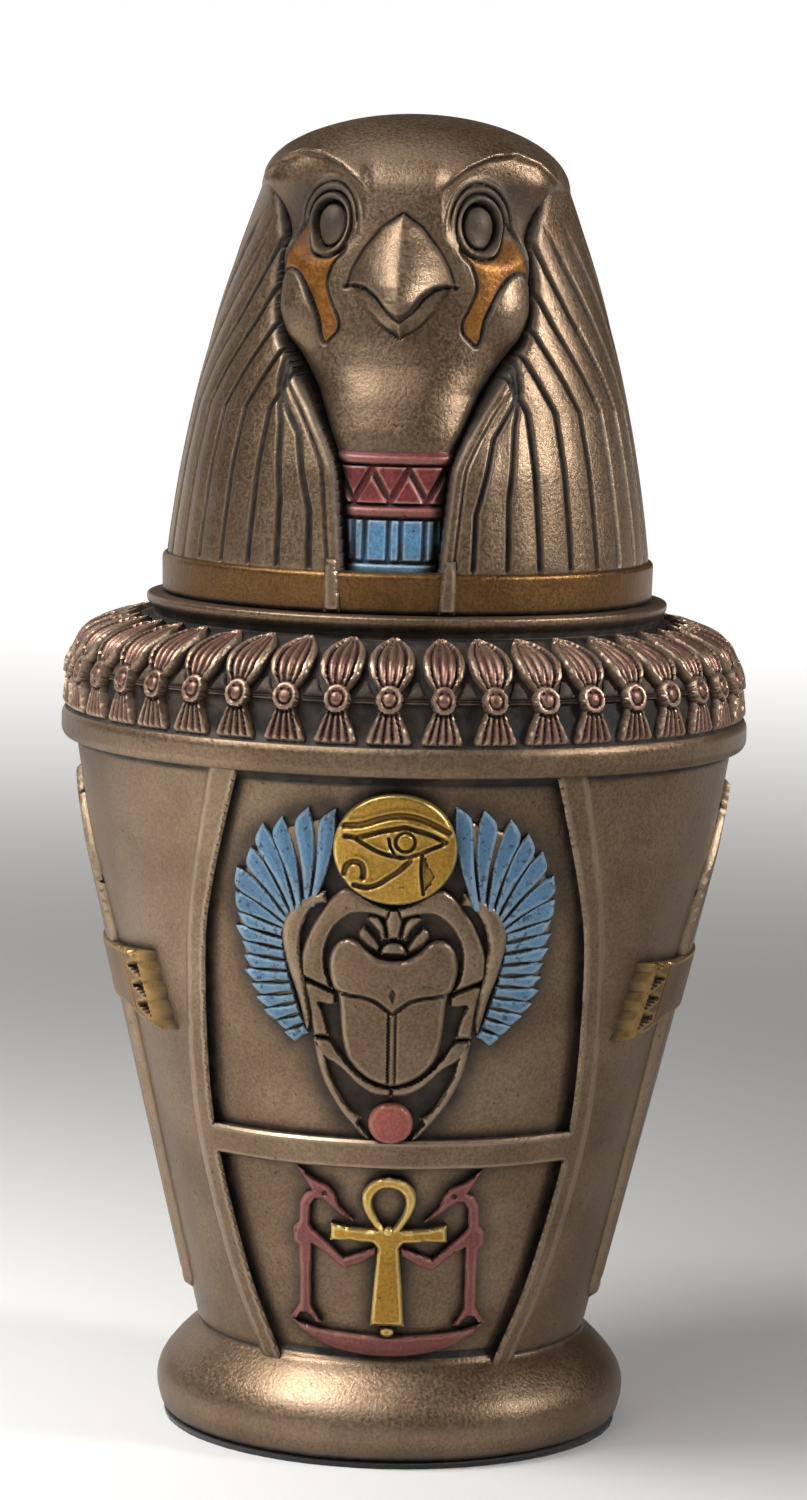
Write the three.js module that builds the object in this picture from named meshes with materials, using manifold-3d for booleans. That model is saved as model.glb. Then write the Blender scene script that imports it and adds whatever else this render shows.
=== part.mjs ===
// Canopic jar with a falcon-headed lid, cast in resin with a bronze finish.
// Units are millimetres, +Z is up and the origin is the bottom centre of the jar. The front,
// with the winged scarab and the falcon's beak, faces -Y.
//
// Three pieces: a hollow jar, a solid lid whose plug sits in the jar's mouth, and the felt pad
// glued under the foot.

import * as THREE from 'three';
import { mergeVertices } from 'three/addons/utils/BufferGeometryUtils.js';
import Module from 'manifold-3d';

const wasm = await Module();
wasm.setup();

// ---------------------------------------------------------------- driving dimensions

const FELT = { thickness: 0.75, radius: 33.6 };

const JAR = {
  segments: 36,
  footRadius: 34.9,
  footTop: 14.4, // height of the crease between foot and body
  footNeck: 28.6, // body radius at that crease
  bandBottom: 101.4, // underside of the plain band round the shoulder
  bandRadius: 50.3,
  friezeBottom: 105.6, // the lotus frieze stands on the band
  rimBottom: 119.3,
  rimRadius: 38.1,
  mouthRadius: 32.8,
  height: 122.5,
  cavityFloor: 10,
};

const RELIEF = {
  strap: 0.9, // height of each raised ornament above the body's turned surface
  panel: -1.0, // the panels are sunk below it
  wing: 0.3,
  leg: 0.7,
  shell: 1.6,
  disc: 1.5,
  ball: 1.8,
  figure: 0.5,
  ankh: 1.0,
  sideBar: 1.2,
  sideClip: 2.0,
};

// Rows of the lotus frieze from the band to the rim: the ground between the flowers as
// [radius, height], and how far a flower stands out of it at each row.
const FRIEZE = {
  count: 42,
  sunk: 0.6,
  ground: [
    [49.3, 105.6], [49.3, 106.4], [48.8, 111], [48.3, 112.6], [47.6, 114], [45.8, 116.4],
    [38.9, 119.3],
  ],
  proud: [0, 1.3, 0.8, 1.6, 0.9, 1.5, 0],
  turn: 3, // degrees from the front to the middle of a gap
};

const LID = {
  bandHeight: 5.9,
  bandProud: 0.3,
  foot: 35.6, // half width at the lower edge
  springing: 59, // the crown starts here
  crown: 10.9, // height of the crown above its springing
  strands: 40, // locks of the wig, each with a groove on either side
  grooveDepth: 0.7,
  plugRadius: 31.2,
  plugHeight: 6,
  eye: { side: 11.7, depth: 17.8, height: 54, turn: 38, size: [3.1, 2.2, 3.6] },
  turn: -3, // degrees about the jar's axis; the lid was set down a little askew
};

// ---------------------------------------------------------------- small tools

const rising = (low, high, value) => THREE.MathUtils.smoothstep(value, low, high);
const falling = (low, high, value) => 1 - rising(low, high, value);

// A closed geometry with its shared corners merged, as a solid.
function solidOf(geometry) {
  const bare = geometry.clone();
  bare.deleteAttribute('normal');
  bare.deleteAttribute('uv');
  const merged = mergeVertices(bare, 1e-4);
  return new wasm.Manifold(new wasm.Mesh({
    numProp: 3,
    vertProperties: new Float32Array(merged.attributes.position.array),
    triVerts: new Uint32Array(merged.index.array),
  }));
}

function geometryOf(solid) {
  const mesh = solid.getMesh();
  const geometry = new THREE.BufferGeometry();
  const corners = new THREE.BufferAttribute(new Float32Array(mesh.vertProperties), 3);
  geometry.setAttribute('position', corners);
  geometry.setIndex(new THREE.BufferAttribute(new Uint32Array(mesh.triVerts), 1));
  geometry.computeVertexNormals();
  return geometry;
}

// A profile of [radius, height] turned about the Z axis. Its first column of vertices faces -Y.
function turnedGeometry(profile, segments) {
  const points = profile.map(([radius, height]) => new THREE.Vector2(radius, height));
  return new THREE.LatheGeometry(points, segments).rotateX(Math.PI / 2);
}

const turned = (profile, segments) => solidOf(turnedGeometry(profile, segments));

// An outline drawn as seen from the front, X across and Z up, carried back from the front
// face of a block to near the axis.
function frontPrism(shape, curveSegments = 3) {
  const depth = 50;
  const nearAxis = 10;
  const block = new THREE.ExtrudeGeometry(shape, {
    depth, bevelEnabled: false, curveSegments,
  });
  return solidOf(block.rotateX(Math.PI / 2).translate(0, -nearAxis, 0));
}

const outline = (points) => new THREE.Shape(points.map(([x, z]) => new THREE.Vector2(x, z)));

const mirrored = (points) => points.map(([x, z]) => [-x, z]).reverse();

// Points along a smooth curve through a few stations.
function curved(stations, steps) {
  const curve = new THREE.SplineCurve(stations.map(([x, z]) => new THREE.Vector2(x, z)));
  return curve.getPoints(steps).map((point) => [point.x, point.y]);
}

function ellipse(x, z, halfWidth, halfHeight) {
  const shape = new THREE.Shape();
  shape.absellipse(x, z, halfWidth, halfHeight, 0, 2 * Math.PI, false);
  return shape;
}

// ---------------------------------------------------------------- the jar's turned body

// The plain wall between foot and shoulder band, as [radius, height].
const WALL = [
  [JAR.footNeck, JAR.footTop], [37.1, 50], [45.6, 86], [48.0, JAR.bandBottom - 0.5],
];

function wallRadius(height) {
  const upper = WALL.findIndex(([, z]) => z >= height);
  if (upper <= 0) return WALL[upper === 0 ? 0 : WALL.length - 1][0];
  const [r0, z0] = WALL[upper - 1];
  const [r1, z1] = WALL[upper];
  return r0 + (r1 - r0) * (height - z0) / (z1 - z0);
}

function bodyProfile() {
  const { footRadius, bandBottom, bandRadius, rimBottom, rimRadius, height } = JAR;
  const foot = [
    [0, FELT.thickness], [footRadius - 1.2, FELT.thickness], [footRadius, 5.6], [33.8, 9.4],
    [31.4, 12.6],
  ];
  const band = [
    [bandRadius - 0.5, bandBottom], [bandRadius, bandBottom + 0.8],
    [bandRadius, JAR.friezeBottom - 0.8], [bandRadius - 0.7, JAR.friezeBottom],
  ];
  // The shoulder lies just under the flowers' own ring.
  const shoulder = FRIEZE.ground.map(([radius, z]) => [radius - FRIEZE.sunk, z]);
  const rim = [
    [rimRadius - 0.8, rimBottom + 0.3], [rimRadius - 0.8, 121.2], [rimRadius, 121.6],
    [rimRadius, height], [0, height],
  ];
  return [...foot, ...WALL, ...band, ...shoulder, ...rim];
}

// The hollow inside, which follows the outside and narrows to the mouth.
function cavity() {
  const { cavityFloor, mouthRadius, height } = JAR;
  return turned([
    [0, cavityFloor], [22.6, cavityFloor], [24.6, 16], [32.4, 50], [42.8, 95], [43.9, 106],
    [40.4, 112.8], [mouthRadius, 117], [mouthRadius, height + 1], [0, height + 1],
  ], JAR.segments);
}

// The body's wall moved out or in, closed to a plug that ornaments are cut to.
function wallSkin(offset) {
  const rows = WALL.map(([radius, height]) => [radius + offset, height]);
  const bottom = JAR.footTop - 3;
  const top = JAR.bandBottom + 0.6;
  return turned([
    [0, bottom], [JAR.footNeck + offset, bottom], ...rows, [48.2 + offset, top], [0, top],
  ], JAR.segments);
}

const reliefSolid = (shape, offset) => frontPrism(shape).intersect(wallSkin(offset));

// ---------------------------------------------------------------- panel frame and sides

// The frame's outer edge bulges from the band down to the foot; seen from the front.
const STRAP_OUTER = curved([
  [26.4, JAR.bandBottom + 0.6], [28.9, 84], [29.7, 72], [28.1, 48], [23.1, 28], [17.8, 12.6],
], 7);
const STRAP_WIDTH = { bottom: 2.9, top: 4.2 };
const CROSSBAR = { bottom: 44.1, top: 48.4 };

function strapInner() {
  const flareStart = 80;
  return STRAP_OUTER.map(([x, z]) => {
    const flare = rising(flareStart, JAR.bandBottom, z);
    return [x - THREE.MathUtils.lerp(STRAP_WIDTH.bottom, STRAP_WIDTH.top, flare), z];
  });
}

// Two straps and a crossbar. The front's panels are sunk between them; the back's are not.
function framePanels(body) {
  const inner = strapInner();
  const opening = frontPrism(outline([...inner, ...mirrored(inner)]));
  const sunk = opening.subtract(wallSkin(RELIEF.panel)).intersect(wallSkin(RELIEF.strap + 1));
  const strap = [...STRAP_OUTER, ...[...inner].reverse()];
  const right = reliefSolid(outline(strap), RELIEF.strap);
  const left = reliefSolid(outline(mirrored(strap)), RELIEF.strap);
  const barHalf = wallRadius(CROSSBAR.bottom) * 0.7;
  const bar = reliefSolid(outline([
    [-barHalf, CROSSBAR.bottom], [barHalf, CROSSBAR.bottom],
    [barHalf, CROSSBAR.top], [-barHalf, CROSSBAR.top],
  ]), RELIEF.strap);
  const frame = right.add(left).add(bar);
  return body.subtract(sunk).add(frame).add(frame.rotate([0, 0, 180]));
}

// A tall pointed bar on each side, held by a clip with flared ends.
function sideOrnament() {
  const bar = outline([
    [-6, 19.5], [6, 19.5], [7.6, 21], ...curved([[9.6, 42], [12.2, 70], [9, 84], [0, 96]], 4),
    ...curved([[0, 96], [-9, 84], [-12.2, 70], [-9.6, 42]], 4).slice(1), [-7.6, 21],
  ]);
  const clipHalf = 24.5;
  const clip = outline([
    [-clipHalf, 61.5], [-15, 63.2], [15, 63.2], [clipHalf, 61.5],
    [clipHalf + 0.6, 72.6], [15, 71.8], [-15, 71.8], [-clipHalf - 0.6, 72.6],
  ]);
  return reliefSolid(bar, RELIEF.sideBar).add(reliefSolid(clip, RELIEF.sideClip));
}

// ---------------------------------------------------------------- winged scarab

const WING = {
  feathers: 14,
  tips: [[9.6, 96.8], [16.6, 94.6], [21.2, 89.4], [22.9, 82.2], [21.9, 74], [19, 68], [14.4, 63]],
  roots: [[11.8, 64.8], [13.4, 69.6], [15.4, 76], [14.9, 81], [11.6, 84.2], [10.6, 88], [9.6, 93]],
  notch: 1.3, // how far the outline steps back between two feather tips
};

function wingOutline() {
  const edge = curved(WING.tips, WING.feathers * 2);
  const scalloped = edge.map(([x, z], step) => {
    const inward = step % 2 ? WING.notch : 0;
    const away = Math.hypot(x, z - 79);
    return [x - inward * x / away, z - inward * (z - 79) / away];
  });
  return [...scalloped, ...curved(WING.roots, 5)];
}

function scarab() {
  const half = [
    [0, 76], [4.8, 78.6], [8.5, 76.6], [8.0, 70], [6.4, 62], [3.4, 58.4], [0, 56.8],
  ];
  const shell = outline([...half, ...mirrored(half).slice(1, -1)]);
  const head = ellipse(0, 78.6, 3.2, 2.6);
  const legOuter = [
    [6.4, 84.6], [10.4, 80.6], [12, 75], [11.2, 66], [9.4, 58], [6.6, 52.4], [2.4, 48],
  ];
  const legInner = [
    [1.6, 50.2], [5.0, 53.6], [7.4, 58.6], [9.2, 66], [9.8, 75], [8.6, 79.6], [4.6, 82.8],
  ];
  const legs = [...curved(legOuter, 8), ...curved(legInner, 8)];
  return reliefSolid(outline(legs), RELIEF.leg)
    .add(reliefSolid(outline(mirrored(legs)), RELIEF.leg))
    .add(reliefSolid(shell, RELIEF.shell))
    .add(reliefSolid(head, RELIEF.leg));
}

function wingedScarab() {
  const wing = wingOutline();
  return reliefSolid(outline(wing), RELIEF.wing)
    .add(reliefSolid(outline(mirrored(wing)), RELIEF.wing))
    .add(scarab())
    .add(reliefSolid(ellipse(0, 91.2, 8.6, 7.9), RELIEF.disc))
    .add(reliefSolid(ellipse(0, 51.2, 3.1, 2.9), RELIEF.ball));
}

// ---------------------------------------------------------------- ankh between two herons

function ankhAndHerons() {
  const loop = ellipse(0, 38.4, 3.8, 4.4);
  loop.holes.push(ellipse(0, 38.6, 2.2, 2.7));
  const cross = outline([
    [-2.35, 20.4], [2.35, 20.4], [1.5, 33.1], [8.2, 32.9], [8.2, 35.4], [1.8, 34.7],
    [-1.8, 34.7], [-8.2, 35.4], [-8.2, 32.9], [-1.5, 33.1],
  ]);
  const heron = [
    [13.6, 19.4], [9.6, 19.4], [11, 22.4], [10.9, 31], [6.4, 28.4], [2.2, 32.2], [2.2, 33.6],
    [6.5, 30.6], [11, 34.4], [11.3, 38], [8.6, 38.8], [4.9, 36], [8.3, 41], [13, 43.6],
    [13, 31], [12.6, 22.4],
  ];
  const boat = outline([
    [-13.2, 20.6], ...curved([[-12, 18.6], [-7, 16], [0, 15.2], [7, 16], [12, 18.6]], 5),
    [13.2, 20.6],
  ]);
  return reliefSolid(boat, RELIEF.figure)
    .add(reliefSolid(outline(heron), RELIEF.figure))
    .add(reliefSolid(outline(mirrored(heron)), RELIEF.figure))
    .add(reliefSolid(loop, RELIEF.ankh))
    .add(reliefSolid(cross, RELIEF.ankh));
}

// ---------------------------------------------------------------- lotus frieze

// A ring over the shoulder with one ridge for each flower: a fan that stands on the band, a
// boss above it and a bud that runs up to the rim. Odd columns of vertices lie in the gaps.
function lotusRing() {
  const sunkFoot = [FRIEZE.ground[0][0], JAR.friezeBottom - 0.5];
  const inner = [[JAR.rimRadius - 1.6, JAR.rimBottom - 0.3], [46.2, JAR.friezeBottom - 0.5]];
  const geometry = turnedGeometry(
    [sunkFoot, ...FRIEZE.ground, ...inner, sunkFoot], 2 * FRIEZE.count,
  );
  const corners = geometry.attributes.position;
  const column = Math.PI / FRIEZE.count;
  for (let i = 0; i < corners.count; i += 1) {
    const [x, y, z] = [corners.getX(i), corners.getY(i), corners.getZ(i)];
    const onFlower = Math.round(Math.atan2(x, -y) / column) % 2 !== 0;
    const row = FRIEZE.ground.findIndex(([, height]) => Math.abs(height - z) < 0.01);
    if (!onFlower || row < 0) continue;
    const radius = Math.hypot(x, y);
    const moved = (radius + FRIEZE.proud[row]) / radius;
    corners.setXY(i, x * moved, y * moved);
  }
  return solidOf(geometry).rotate([0, 0, FRIEZE.turn]);
}

function jarGeometry() {
  let jar = turned(bodyProfile(), JAR.segments);
  jar = framePanels(jar).add(wingedScarab()).add(ankhAndHerons());
  for (const turn of [90, -90]) jar = jar.add(sideOrnament().rotate([0, 0, turn]));
  return geometryOf(jar.add(lotusRing()).subtract(cavity()));
}

// ---------------------------------------------------------------- the lid

// Half width of the lid at a height above its lower edge: a bell, then a rounded crown.
function lidSide(height) {
  return bell(height, 0.078, 0.0025);
}

function crownShrink(height) {
  const rise = (height - LID.springing) / LID.crown;
  return Math.sqrt(Math.max(0, 1 - rise * rise));
}

function lidBack(height) {
  return bell(height, 0.05, 0.0022);
}

// A bell that leans in by slope and bend up to the springing, then closes over the crown.
function bell(height, slope, bend) {
  const low = Math.min(height, LID.springing);
  const radius = LID.foot + 0.1 - slope * low - bend * low * low;
  return height > LID.springing ? radius * crownShrink(height) : radius;
}

// Stations of [height, size] up the front of the lid.
const FRONT = {
  // Depth of the wig on the centre line; it falls back beside the face.
  wigDepth: [[0, 35.6], [8, 35.2], [20, 33.4], [33, 29], [40, 25], [48, 22.4], [59, 21]],
  // Depth of the throat and face on the centre line, without the beak.
  faceDepth: [[0, 34], [20, 31.6], [27, 31], [34, 28.4], [40, 26.8], [50, 25.6], [59, 24]],
  // Half width of the throat and face, between the inner edges of the wig.
  faceHalf: [[0, 7.6], [20, 8.6], [26, 10.4], [33, 15.4], [38, 18.8], [48, 19.6], [59, 21.5]],
  faceOval: 16, // least half width of the oval that the throat is a part of
  facePower: 2.6,
};

function along(table, height) {
  const upper = table.findIndex(([z]) => z >= height);
  if (upper < 0) return table[table.length - 1][1];
  if (upper === 0) return table[0][1];
  const [z0, v0] = table[upper - 1];
  const [z1, v1] = table[upper];
  return v0 + (v1 - v0) * (height - z0) / (z1 - z0);
}

function ovalRadius(angle, side, depth, power = 2) {
  const across = Math.abs(Math.sin(angle)) / side;
  const forward = Math.abs(Math.cos(angle)) / depth;
  return (across ** power + forward ** power) ** (-1 / power);
}

const BEAK = { root: 56, corner: 45.6, tip: 42, underside: 38.2, halfWidth: 7.2, rise: 7 };

// The beak, as a ridge with flat flanks that ends in a hooked tip.
function beakRise(x, height) {
  const { root, corner, tip, underside, halfWidth, rise } = BEAK;
  if (height > root || height < underside) return 0;
  const down = Math.min(1, (root - height) / (root - tip));
  const spread = height > corner
    ? (root - height) / (root - corner)
    : (height - underside + 1) / (corner - underside + 1);
  const flank = Math.max(0, 1 - Math.abs(x) / (halfWidth * Math.max(spread, 0.02)));
  return rise * down ** 1.2 * rising(underside, tip, height) * flank;
}

const SOCKET = { side: 12.5, halfWidth: 7, depth: 2.2, browHeight: 59.8, browSlope: 0.3 };

// Hollow round each eye, under a sharp brow that rises outwards.
function eyeHollow(x, height) {
  const across = (Math.abs(x) - SOCKET.side) / SOCKET.halfWidth;
  const brow = SOCKET.browHeight + SOCKET.browSlope * (Math.abs(x) - 6);
  const under = falling(brow - 0.8, brow + 1.2, height) * rising(46, 54, height);
  return -SOCKET.depth * Math.exp(-across * across) * under;
}

// Distance from the axis to the carved surface. Angle 0 is the front.
function lidRadius(angle, height) {
  const side = lidSide(height);
  if (Math.cos(angle) <= 0) {
    return ovalRadius(angle, side, lidBack(height)) - strandGroove(angle, height);
  }
  const shrink = height > LID.springing ? crownShrink(height) : 1;
  const wig = ovalRadius(angle, side, along(FRONT.wigDepth, height) * shrink);
  const faceHalf = along(FRONT.faceHalf, height) * shrink;
  const faceDepth = along(FRONT.faceDepth, height) * shrink;
  const oval = Math.max(faceHalf, FRONT.faceOval * shrink);
  const face = ovalRadius(angle, oval, faceDepth, FRONT.facePower);
  const x = Math.abs(Math.sin(angle)) * wig;
  const inFace = falling(faceHalf - 0.6, faceHalf + 1, x);
  const throatTop = 34; // above it the face is never sunk far behind the wig
  const head = Math.max(face, height > throatTop ? wig - 0.6 : 0)
    + beakRise(Math.sin(angle) * face, height)
    + eyeHollow(Math.sin(angle) * face, height);
  return head * inFace + (wig - strandGroove(angle, height)) * (1 - inFace);
}

// Grooves between the strands of the wig, dying out towards the smooth crown.
function strandGroove(angle, height) {
  const phase = angle / (2 * Math.PI) * LID.strands;
  const nearGroove = Math.abs(phase - Math.round(phase)) < 0.1 ? 1 : 0;
  const fade = rising(LID.bandHeight, LID.bandHeight + 1, height) * falling(44, 52, height);
  return LID.grooveDepth * nearGroove * fade;
}

// Heights of the lid's rows, closer together towards the crown.
function lidRows() {
  const steps = 14;
  const top = LID.springing + LID.crown;
  const rise = (share) => 0.5 * Math.sin(share * Math.PI / 2) + 0.5 * share;
  return Array.from({ length: steps },
    (_, step) => LID.bandHeight + (top - LID.bandHeight) * rise((step + 1) / steps));
}

// Plug, gold band and bell turned in rows, then each vertex of the bell moved out or in to the
// carved surface.
function headSolid() {
  const { foot, bandProud, bandHeight, plugRadius, plugHeight } = LID;
  const rows = lidRows();
  const top = rows.pop();
  const profile = [
    [0, -plugHeight], [plugRadius, -plugHeight], [plugRadius, 0], [foot, 0],
    [foot + bandProud, bandHeight - 0.4],
    ...[bandHeight, ...rows].map((h) => [lidSide(h), h]), [0, top],
  ];
  const geometry = turnedGeometry(profile, 2 * LID.strands);
  const corners = geometry.attributes.position;
  for (let i = 0; i < corners.count; i += 1) {
    const [x, y, z] = [corners.getX(i), corners.getY(i), corners.getZ(i)];
    const radius = Math.hypot(x, y);
    if (z < bandHeight - 0.1 || radius < 0.1) continue;
    const moved = lidRadius(Math.atan2(x, -y), z) / radius;
    corners.setXY(i, x * moved, y * moved);
  }
  return solidOf(geometry);
}

// One eyeball, turned outwards; sign is -1 or 1 for the side.
function eye(sign) {
  const { side, depth, height, turn, size } = LID.eye;
  return solidOf(new THREE.SphereGeometry(1, 12, 8).scale(...size))
    .rotate([0, 0, turn * sign])
    .translate([sign * side, -depth, height]);
}

// The front ends of the wig's two lappets, which run down over the gold band.
function lappetEnds() {
  const skin = turned([
    [0, 0], [LID.foot + 0.9, 0], [LID.foot + 0.7, LID.bandHeight + 2],
    [0, LID.bandHeight + 2],
  ], 2 * LID.strands);
  const edge = [[7.3, 0], [9.6, 0], [9.8, 8], [7.8, 8]];
  return frontPrism(outline(edge)).add(frontPrism(outline(mirrored(edge)))).intersect(skin);
}

const lidGeometry = () => geometryOf(
  headSolid().add(lappetEnds()).add(eye(1)).add(eye(-1)),
);

// ---------------------------------------------------------------- the model

const bronze = new THREE.MeshStandardMaterial({ color: 0x7d6a55, metalness: 0.8, roughness: 0.45 });
const felt = new THREE.MeshStandardMaterial({ color: 0x17161a, metalness: 0, roughness: 1 });

const jar = new THREE.Mesh(jarGeometry(), bronze);
jar.name = 'jar';

const lid = new THREE.Mesh(lidGeometry(), bronze);
lid.name = 'lid';
lid.position.z = JAR.height;
lid.rotation.z = THREE.MathUtils.degToRad(LID.turn);

const pad = new THREE.Mesh(turnedGeometry([
  [0, 0], [FELT.radius, 0], [FELT.radius, FELT.thickness], [0, FELT.thickness],
], JAR.segments), felt);
pad.name = 'felt_pad';

const canopicJar = new THREE.Group();
canopicJar.add(jar, lid, pad);

export default canopicJar;
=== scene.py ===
"""Canopic jar with a falcon-headed lid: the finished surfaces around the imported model.

Shapes are worked out in millimetres and turned to metres when a mesh is made. Heights above the
base are called z on the jar and h, measured from the lid's lower edge, on the lid. The front of
the jar faces -Y.
"""

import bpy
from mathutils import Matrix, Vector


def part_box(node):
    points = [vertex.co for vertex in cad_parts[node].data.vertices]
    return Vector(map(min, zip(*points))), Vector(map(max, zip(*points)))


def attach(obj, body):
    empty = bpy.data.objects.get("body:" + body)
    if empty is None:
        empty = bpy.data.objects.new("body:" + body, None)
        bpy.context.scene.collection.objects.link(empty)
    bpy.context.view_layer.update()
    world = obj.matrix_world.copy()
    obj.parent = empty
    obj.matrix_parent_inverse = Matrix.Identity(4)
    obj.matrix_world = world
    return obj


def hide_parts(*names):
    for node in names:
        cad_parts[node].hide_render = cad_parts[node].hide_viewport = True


bl_info = {
    "name": "Canopic jar",
    "version": (1, 0, 0),
    "blender": (4, 5, 0),
    "location": "3D View > Sidebar > Canopic jar",
    "description": "Builds the cast bronze finish of a falcon-headed canopic jar",
    "category": "Object",
}

import math
from functools import partial

import bpy
import numpy as np
from mathutils import Matrix, Vector
from mathutils.geometry import delaunay_2d_cdt

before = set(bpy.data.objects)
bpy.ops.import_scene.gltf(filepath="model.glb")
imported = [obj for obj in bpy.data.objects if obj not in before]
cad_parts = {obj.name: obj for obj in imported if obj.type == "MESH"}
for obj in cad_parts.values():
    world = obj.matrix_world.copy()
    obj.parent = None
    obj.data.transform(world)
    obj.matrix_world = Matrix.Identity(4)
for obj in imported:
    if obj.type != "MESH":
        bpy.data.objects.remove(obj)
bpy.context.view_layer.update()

MM = 0.001
ROOT = "root"
LID_LOW = np.array(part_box("lid")[0]) / MM
PAD_HIGH = np.array(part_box("felt_pad")[1]) / MM
PLUG_HEIGHT = 6.0
LID_SEAT = LID_LOW[2] + PLUG_HEIGHT  # the lid's lower edge rests on the jar's rim here

# How far each ornament stands out of the wall. The sidebar's sizes start from these.
HEIGHT = {"strap": 0.9, "side_bar": 1.1, "side_clip": 2.0, "feather": 0.35, "leg": 0.6,
          "shell": 1.6, "disc": 1.5, "ball": 1.8, "ankh": 1.0, "figure": 0.5}
PANEL_DEPTH = 1.0  # how far the panels lie below the wall
PANEL_ROOT = -PANEL_DEPTH - 0.4  # where the sides of the ornaments on a panel end


def linear(code):
    """The linear colour of an sRGB hex code."""
    values = (int(code[i:i + 2], 16) / 255 for i in (1, 3, 5))
    return tuple(v / 12.92 if v <= 0.04045 else ((v + 0.055) / 1.055) ** 2.4 for v in values)


# ---------------------------------------------------------------- curves and outlines

def smooth_step(low, high, value):
    share = np.clip((value - low) / (high - low), 0, 1)
    return share * share * (3 - 2 * share)


def softened(stations, reach):
    """A function through (place, value) stations whose corners are rounded over reach."""
    places, values = np.array(stations, float).T
    fine = np.arange(places[0] - 2 * reach, places[-1] + 2 * reach, reach / 12)
    slope = [(values[1] - values[0]) / (places[1] - places[0]),
             (values[-1] - values[-2]) / (places[-1] - places[-2])]
    level = np.interp(fine, places, values)
    level += np.where(fine < places[0], (fine - places[0]) * slope[0], 0)
    level += np.where(fine > places[-1], (fine - places[-1]) * slope[1], 0)
    window = np.hanning(13)
    level = np.convolve(np.pad(level, 6, "edge"), window / window.sum(), "valid")
    return lambda place: np.interp(place, fine, level)


def smooth(stations, steps, closed=False):
    """Evenly spaced points on a smooth curve through a few stations."""
    p = np.array(stations, float)
    p = np.vstack([p[-1:], p, p[:2]]) if closed else np.vstack([2 * p[0] - p[1], p,
                                                                2 * p[-1] - p[-2]])
    t = np.linspace(0, 1, 24, endpoint=False)[:, None]
    spans = []
    for a, b, c, d in zip(p, p[1:], p[2:], p[3:]):
        spans.append(0.5 * (2 * b + (c - a) * t + (2 * a - 5 * b + 4 * c - d) * t ** 2
                            + (3 * b - a - 3 * c + d) * t ** 3))
    line = np.vstack(spans + [p[-2:-1]])
    along = np.concatenate([[0], np.cumsum(np.hypot(*np.diff(line, axis=0).T))])
    places = np.linspace(0, along[-1], steps, endpoint=not closed)
    return np.column_stack([np.interp(places, along, line[:, 0]),
                            np.interp(places, along, line[:, 1])])


def stepped(loop, step):
    """A closed outline with a point at least every step, its corners kept."""
    points = []
    for start, end in zip(loop, np.roll(loop, -1, axis=0)):
        count = max(1, math.ceil(np.hypot(*(end - start)) / step))
        points += [start + (end - start) * i / count for i in range(count)]
    return np.array(points)


def mirrored(points):
    return np.array([(-x, z) for x, z in points][::-1])


def oval(x, z, half_width, half_height, steps=72):
    turn = np.linspace(0, 2 * np.pi, steps, endpoint=False)
    return np.column_stack([x + half_width * np.cos(turn), z + half_height * np.sin(turn)])


def inside(loops, x, z):
    """True where a point lies in an odd number of the loops."""
    result = np.zeros(np.shape(x), bool)
    for loop in loops:
        for (x0, z0), (x1, z1) in zip(loop, np.roll(loop, -1, axis=0)):
            if z0 == z1:
                continue
            crossing = (z0 > z) != (z1 > z)
            result ^= crossing & (x < (x1 - x0) * (z - z0) / (z1 - z0) + x0)
    return result


def distance(lines, x, z):
    """Distance from each point to the nearest of some open lines."""
    nearest = np.full(np.shape(x), 1e9)
    for line in lines:
        for (x0, z0), (x1, z1) in zip(line, line[1:]):
            dx, dz = x1 - x0, z1 - z0
            share = ((x - x0) * dx + (z - z0) * dz) / max(dx * dx + dz * dz, 1e-9)
            share = np.clip(share, 0, 1)
            nearest = np.minimum(nearest, np.hypot(x - x0 - share * dx, z - z0 - share * dz))
    return nearest


def closed(loop):
    return np.vstack([loop, loop[:1]])


def groove(away, width, depth):
    """Depth of a round-bottomed cut at a distance from its middle line."""
    return -depth * np.exp(-(away / (0.5 * width)) ** 4)


def faded(away, reach):
    """1 on a line, dying out over about reach to each side of it."""
    return np.exp(-(away / reach) ** 2)


def rounded_edge(edge, radius):
    """How far a raised top falls away near its edge, for a quarter round of that radius."""
    near = np.clip(1 - edge / radius, 0, 1)
    return -radius * (1 - np.sqrt(1 - near * near))


# ---------------------------------------------------------------- meshes

def filled(loops, cell):
    """Points about a cell apart inside closed loops, triangles between them, and how far each
    point is from the nearest loop."""
    low = np.min([loop.min(axis=0) for loop in loops], axis=0)
    high = np.max([loop.max(axis=0) for loop in loops], axis=0)
    row = cell * 0.87
    across = np.arange(low[0], high[0], cell)
    up = np.arange(low[1] + 0.5 * row, high[1], row)
    x, z = np.meshgrid(across, up)
    x = (x + 0.5 * cell * (np.arange(len(up)) % 2)[:, None]).ravel()
    z = z.ravel()
    kept = inside(loops, x, z)
    x, z = x[kept], z[kept]
    kept = distance([closed(loop) for loop in loops], x, z) > 0.55 * cell
    x, z = x[kept], z[kept]
    corners, edges, first = [], [], 0
    for loop in loops:
        corners += [Vector(point) for point in loop]
        edges += [(first + i, first + (i + 1) % len(loop)) for i in range(len(loop))]
        first += len(loop)
    corners += [Vector(point) for point in zip(x, z)]
    flat, _, faces, *_ = delaunay_2d_cdt(corners, edges, [], 0, 1e-5)
    flat = np.array([tuple(point) for point in flat])
    faces = np.array([face for face in faces if len(face) == 3])
    centre = flat[faces].mean(axis=1)
    faces = faces[inside(loops, centre[:, 0], centre[:, 1])]
    return flat, faces, distance([closed(loop) for loop in loops], flat[:, 0], flat[:, 1])


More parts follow.
